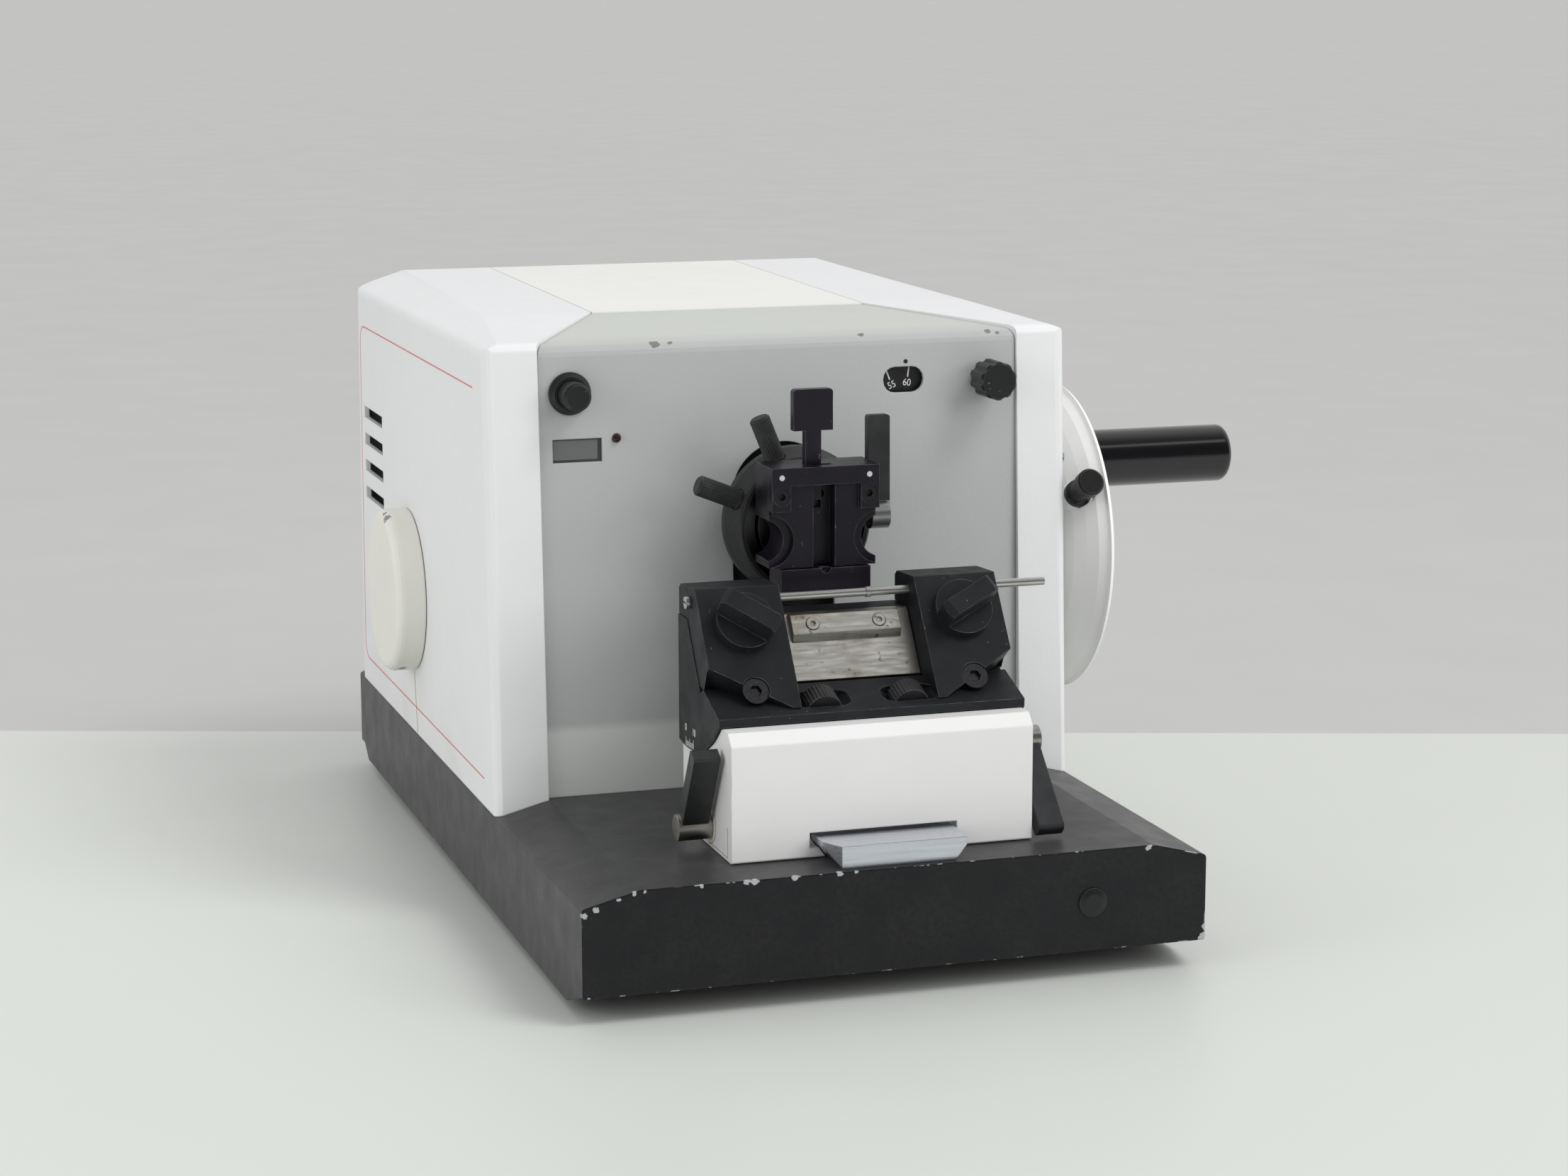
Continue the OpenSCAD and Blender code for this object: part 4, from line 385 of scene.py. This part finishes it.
def mesh_piece(name, vertices, faces, surface, body):
    mesh = bpy.data.meshes.new(name)
    mesh.from_pydata([tuple(v) for v in vertices], [], faces)
    mesh.materials.append(surface.mat)
    obj = bpy.data.objects.new(name, mesh)
    bpy.context.collection.objects.link(obj)
    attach(obj, body)
    return obj


def strip(name, points, width, normal, surface, body, lift=0.00012, closed=False):
    """A thin flat line along points, of a width, facing along normal."""
    normal = Vector(normal).normalized()
    count = len(points)
    vertices, faces = [], []
    for i, p in enumerate(points):
        before = points[(i - 1) % count] if closed or i else p
        after = points[(i + 1) % count] if closed or i < count - 1 else p
        across = (after - before).cross(normal).normalized() * width / 2
        vertices += [p - across + normal * lift, p + across + normal * lift]
        vertices += [p + across - normal * lift, p - across - normal * lift]
    for i in range(count if closed else count - 1):
        a, b = i * 4, (i + 1) % count * 4
        for k in range(4):
            faces.append((a + k, a + (k + 1) % 4, b + (k + 1) % 4, b + k))
    if not closed:
        faces += [(3, 2, 1, 0), tuple(range((count - 1) * 4, count * 4))]
    return mesh_piece(name, vertices, faces, surface, body)


def lettering(name, text, size, matrix, surface, body):
    """Flat characters as a thin mesh."""
    font = bpy.data.curves.new(name, "FONT")
    font.body, font.size, font.extrude = text, size, 0.00008
    font.align_x, font.align_y = "CENTER", "CENTER"
    source = bpy.data.objects.new(name + "_source", font)
    bpy.context.collection.objects.link(source)
    source.matrix_world = matrix
    bpy.context.view_layer.update()
    made = bpy.data.meshes.new_from_object(source.evaluated_get(bpy.context.evaluated_depsgraph_get()))
    made.transform(matrix)
    bpy.data.objects.remove(source)
    made.materials.clear()
    made.materials.append(surface.mat)
    obj = bpy.data.objects.new(name, made)
    bpy.context.collection.objects.link(obj)
    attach(obj, body)
    return obj


def rounded_path(corners, radii):
    """A path through the corners, each rounded by its radius where it has one."""
    path = []
    for i, p in enumerate(corners):
        if not radii[i]:
            path.append(p)
            continue
        a, b = (corners[i - 1] - p).normalized(), (corners[i + 1] - p).normalized()
        for k in range(9):
            t = k / 8
            path.append((p + a * radii[i]) * (1 - t) ** 2 + p * 2 * t * (1 - t) + (p + b * radii[i]) * t ** 2)
    return path


# Red line round the left cover's side, and the seam under the coarse wheel
COVER_SIDE = -155.0
LEFTWARD = (-1, 0, 0)
red_path = rounded_path([at(COVER_SIDE, y, z) for y, z in ((-61, 270), (243, 270.5), (250, 71.5), (-72, 71))],
                        [0, 0.012, 0.012, 0])
strip("red_line", red_path, 0.0007, LEFTWARD, red, "housing")
seam = [at(COVER_SIDE, y, z) for y, z in ((103, 91), (101, 78), (99.5, 68), (97, 57.5))]
strip("cover_seam", seam, 0.0008, LEFTWARD, stain, "housing")

# Dial figures and ticks, read at the dot above the window
DIAL_UNITS, DIAL_STEP, DIAL_START = 5, 29, -340.5
FIGURE_PLACE, FIGURE_SIZE = 0.0166, 0.0051
TICK_FROM, TICK_TO = 0.0196, 0.0285
dial_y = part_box("dial_disc")[0][1] - 0.00005
dial_c = at(66.8, 0, 268.2 - math.sqrt(46.5 ** 2 - 42.6 ** 2))
for i in range(1, 13):
    turn = Matrix.Translation((dial_c.x, dial_y, dial_c.z)) @ Matrix.Rotation(
        math.radians(DIAL_START + i * DIAL_STEP), 4, "Y")
    figure = turn @ Matrix.Translation((0, 0, FIGURE_PLACE)) @ Matrix.Rotation(math.pi / 2, 4, "X")
    figure = figure @ Matrix.Diagonal((0.88, 1, 1, 1))
    units = i * DIAL_UNITS
    lettering("dial_figure_%d" % units, str(units), FIGURE_SIZE, figure, ink, "dial")
    tick = [turn @ Vector((0, 0, TICK_FROM)), turn @ Vector((0, 0, TICK_TO))]
    strip("dial_tick_%d" % i, tick, 0.0007, (0, -1, 0), ink, "dial")


def disc(name, centre, normal, radius, surface, body, thick=0.00015, segments=24):
    """A thin round plate about a centre, facing along normal."""
    normal = Vector(normal).normalized()
    u = normal.orthogonal().normalized()
    v = normal.cross(u)
    turns = [2 * math.pi * k / segments for k in range(segments)]
    ring = [centre + (u * math.cos(t) + v * math.sin(t)) * radius for t in turns]
    vertices = [p + normal * thick for p in ring] + [p - normal * thick for p in ring]
    faces = [tuple(range(segments)), tuple(reversed(range(segments, 2 * segments)))]
    for k in range(segments):
        after = (k + 1) % segments
        faces.append((k, k + segments, after + segments, after))
    return mesh_piece(name, vertices, faces, surface, body)


def panel_y(z):
    """Front face of the grey panel at a height in millimetres."""
    return -93 + (z - 63.5) * 8.16 / 228.5


# Pointer dot above the dial window
POINTER_X, POINTER_Z = 66.9, 277.5
disc("dial_pointer", at(POINTER_X, panel_y(POINTER_Z), POINTER_Z), (0, -1, 0.036), 0.0011, dial, "housing")

# Scale on the segment's left flank, along an arc about the knife edge
EDGE_Y, EDGE_Z, SCALE_R = -0.176, 0.182, 0.0762
SEGMENT_SIDE, LONG_TICK, SHORT_TICK = -0.07705, 0.0042, 0.0026
LABEL_SIDE, LABEL_Z = -77.1, 114.6
for i in range(11):
    turn = math.radians(-2.0 + i * 1.0)
    down = Vector((0, -math.sin(turn), -math.cos(turn)))
    start = Vector((SEGMENT_SIDE - MID_X, EDGE_Y + MID_Y, EDGE_Z)) + down * SCALE_R
    length = LONG_TICK if i % 5 == 0 else SHORT_TICK
    strip("tilt_tick_%d" % i, [start, start - down * length], 0.0004, LEFTWARD, ink, "segment", lift=0.00008)
facing_left = Matrix(((0, 0, -1, 0), (-1, 0, 0, 0), (0, 1, 0, 0), (0, 0, 0, 1)))
for label, y in (("10", -187.5), ("0", -173.5)):
    matrix = Matrix.Translation(at(LABEL_SIDE, y, LABEL_Z)) @ facing_left
    lettering("tilt_figure_" + label, label, 0.0052, matrix, ink, "segment")

# Outline of the lever's round cover on the knife base's left flank
FLANK, LID_Y, LID_Z, LID_R = -75.55, -208, 76, 10.5
outline = []
for k in range(17):
    t = math.pi * k / 16
    outline.append(at(FLANK, LID_Y - LID_R * math.sin(t), LID_Z + LID_R * math.cos(t)))
outline += [at(FLANK, LID_Y, 65.6), at(FLANK, -238, 65.6), at(FLANK, -238, 80)]
strip("lever_cover_line", outline, 0.0004, LEFTWARD, stain, "knife_base", lift=0.00008)

# Floor: pale table, painted lighter towards its rear edge as a pool of light, with the wall's colour beyond
# the table's rear edge
edge_a, edge_b = at(-358, 427, 0), at(581, 110, 0)
along = (edge_b - edge_a).normalized()
across = Vector((-along.y, along.x, 0))
floor = Surface("floor", (0.64, 0.665, 0.63), 0.5)
place = floor.add("ShaderNodeVectorMath", operation="DOT_PRODUCT")
floor.put(place.inputs[0], floor.place)
place.inputs[1].default_value = across
edge = edge_a.dot(across)
beyond = floor.span(place.outputs["Value"], edge - 0.0015, edge + 0.0015)
# Painted light: the table grows lighter towards its rear edge
floor.tint(floor.span(place.outputs["Value"], edge - 0.9, edge, 0.0, 0.9), (0.665, 0.69, 0.65))
floor.tint(beyond, (0.535, 0.53, 0.525))
wall_shade = floor.maths("MULTIPLY", beyond, floor.span(floor.noise(1.1, 4), 0.35, 0.7, 0.0, 0.35))
floor.tint(wall_shade, (0.56, 0.555, 0.55))
floor.roughen(floor.noise(8, 2), 0.42, 0.5)
floor_mesh = bpy.data.meshes.new("floor")
FLOOR_REACH = 60
floor_corners = [(x * FLOOR_REACH, y * FLOOR_REACH, 0) for x, y in ((-1, -1), (1, -1), (1, 1), (-1, 1))]
floor_mesh.from_pydata(floor_corners, [], [(0, 1, 2, 3)])
floor_mesh.materials.append(floor.mat)
floor_obj = bpy.data.objects.new("floor", floor_mesh)
bpy.context.collection.objects.link(floor_obj)

# Light: a soft bright room, a broad sun and three soft boxes; in gloss the room is dim behind the camera
world = bpy.data.worlds.new("room")
bpy.context.scene.world = world
world.use_nodes = True
world.cycles.sampling_method = "NONE"
tree = world.node_tree
background = tree.nodes["Background"]


def world_node(kind, **settings):
    node = tree.nodes.new(kind)
    for key, value in settings.items():
        setattr(node, key, value)
    return node


def blend(factor, a, b):
    node = world_node("ShaderNodeMix", data_type="RGBA")
    tree.links.new(factor, node.inputs["Factor"])
    for socket, value in zip([s for s in node.inputs if s.type == "RGBA"], (a, b)):
        if isinstance(value, bpy.types.NodeSocket):
            tree.links.new(value, socket)
        else:
            socket.default_value = tuple(value) + (1.0,)
    return [s for s in node.outputs if s.type == "RGBA"][0]


def facing(axis, low, high, low_color, high_color):
    """A colour that runs from one to the other as a ray turns towards an axis."""
    dot = world_node("ShaderNodeVectorMath", operation="DOT_PRODUCT")
    tree.links.new(world_node("ShaderNodeTexCoord").outputs["Generated"], dot.inputs[0])
    dot.inputs[1].default_value = Vector(axis).normalized()
    ramp = world_node("ShaderNodeMapRange", clamp=True, interpolation_type="SMOOTHSTEP")
    tree.links.new(dot.outputs["Value"], ramp.inputs[0])
    ramp.inputs[1].default_value, ramp.inputs[2].default_value = low, high
    return blend(ramp.outputs[0], low_color, high_color)


rays = world_node("ShaderNodeLightPath")
room = facing((0, 0, 1), -0.2, 0.9, (0.60, 0.60, 0.605), (0.71, 0.71, 0.715))
shine = facing((-0.25, -1.0, 0.1), -0.3, 0.5, (0.76, 0.76, 0.75), (0.07, 0.07, 0.075))
seen = blend(rays.outputs["Is Glossy Ray"], room, shine)
seen = blend(rays.outputs["Is Camera Ray"], seen, (0.60, 0.595, 0.59))
tree.links.new(seen, background.inputs["Color"])
background.inputs["Strength"].default_value = 1.0


def soft_box(name, place, target, size, power, glossy=True):
    data = bpy.data.lights.new(name, "AREA")
    data.shape, data.size, data.size_y = "RECTANGLE", size[0], size[1]
    data.energy = power
    obj = bpy.data.objects.new(name, data)
    bpy.context.collection.objects.link(obj)
    obj.location = place
    obj.rotation_euler = (Vector(target) - Vector(place)).to_track_quat("-Z", "Y").to_euler()
    obj.visible_camera = False
    obj.visible_glossy = glossy
    return obj


key = bpy.data.lights.new("key", "SUN")
key.energy, key.angle = 0.96, math.radians(24)
key_obj = bpy.data.objects.new("key", key)
bpy.context.collection.objects.link(key_obj)
key_obj.rotation_euler = Vector((-0.42, 0.42, -0.80)).to_track_quat("-Z", "Y").to_euler()
key_obj.visible_glossy = False
soft_box("front_right", (1.2, -1.6, 0.9), (0.1, 0, 0.15), (1.0, 0.8), 9.0, False)
soft_box("left", (-1.8, -0.5, 0.6), (0, 0, 0.15), (1.2, 1.0), 8.5, False)
soft_box("strip", (0.5, -1.1, 1.5), (0.1, 0, 0.2), (1.6, 0.25), 1.8)
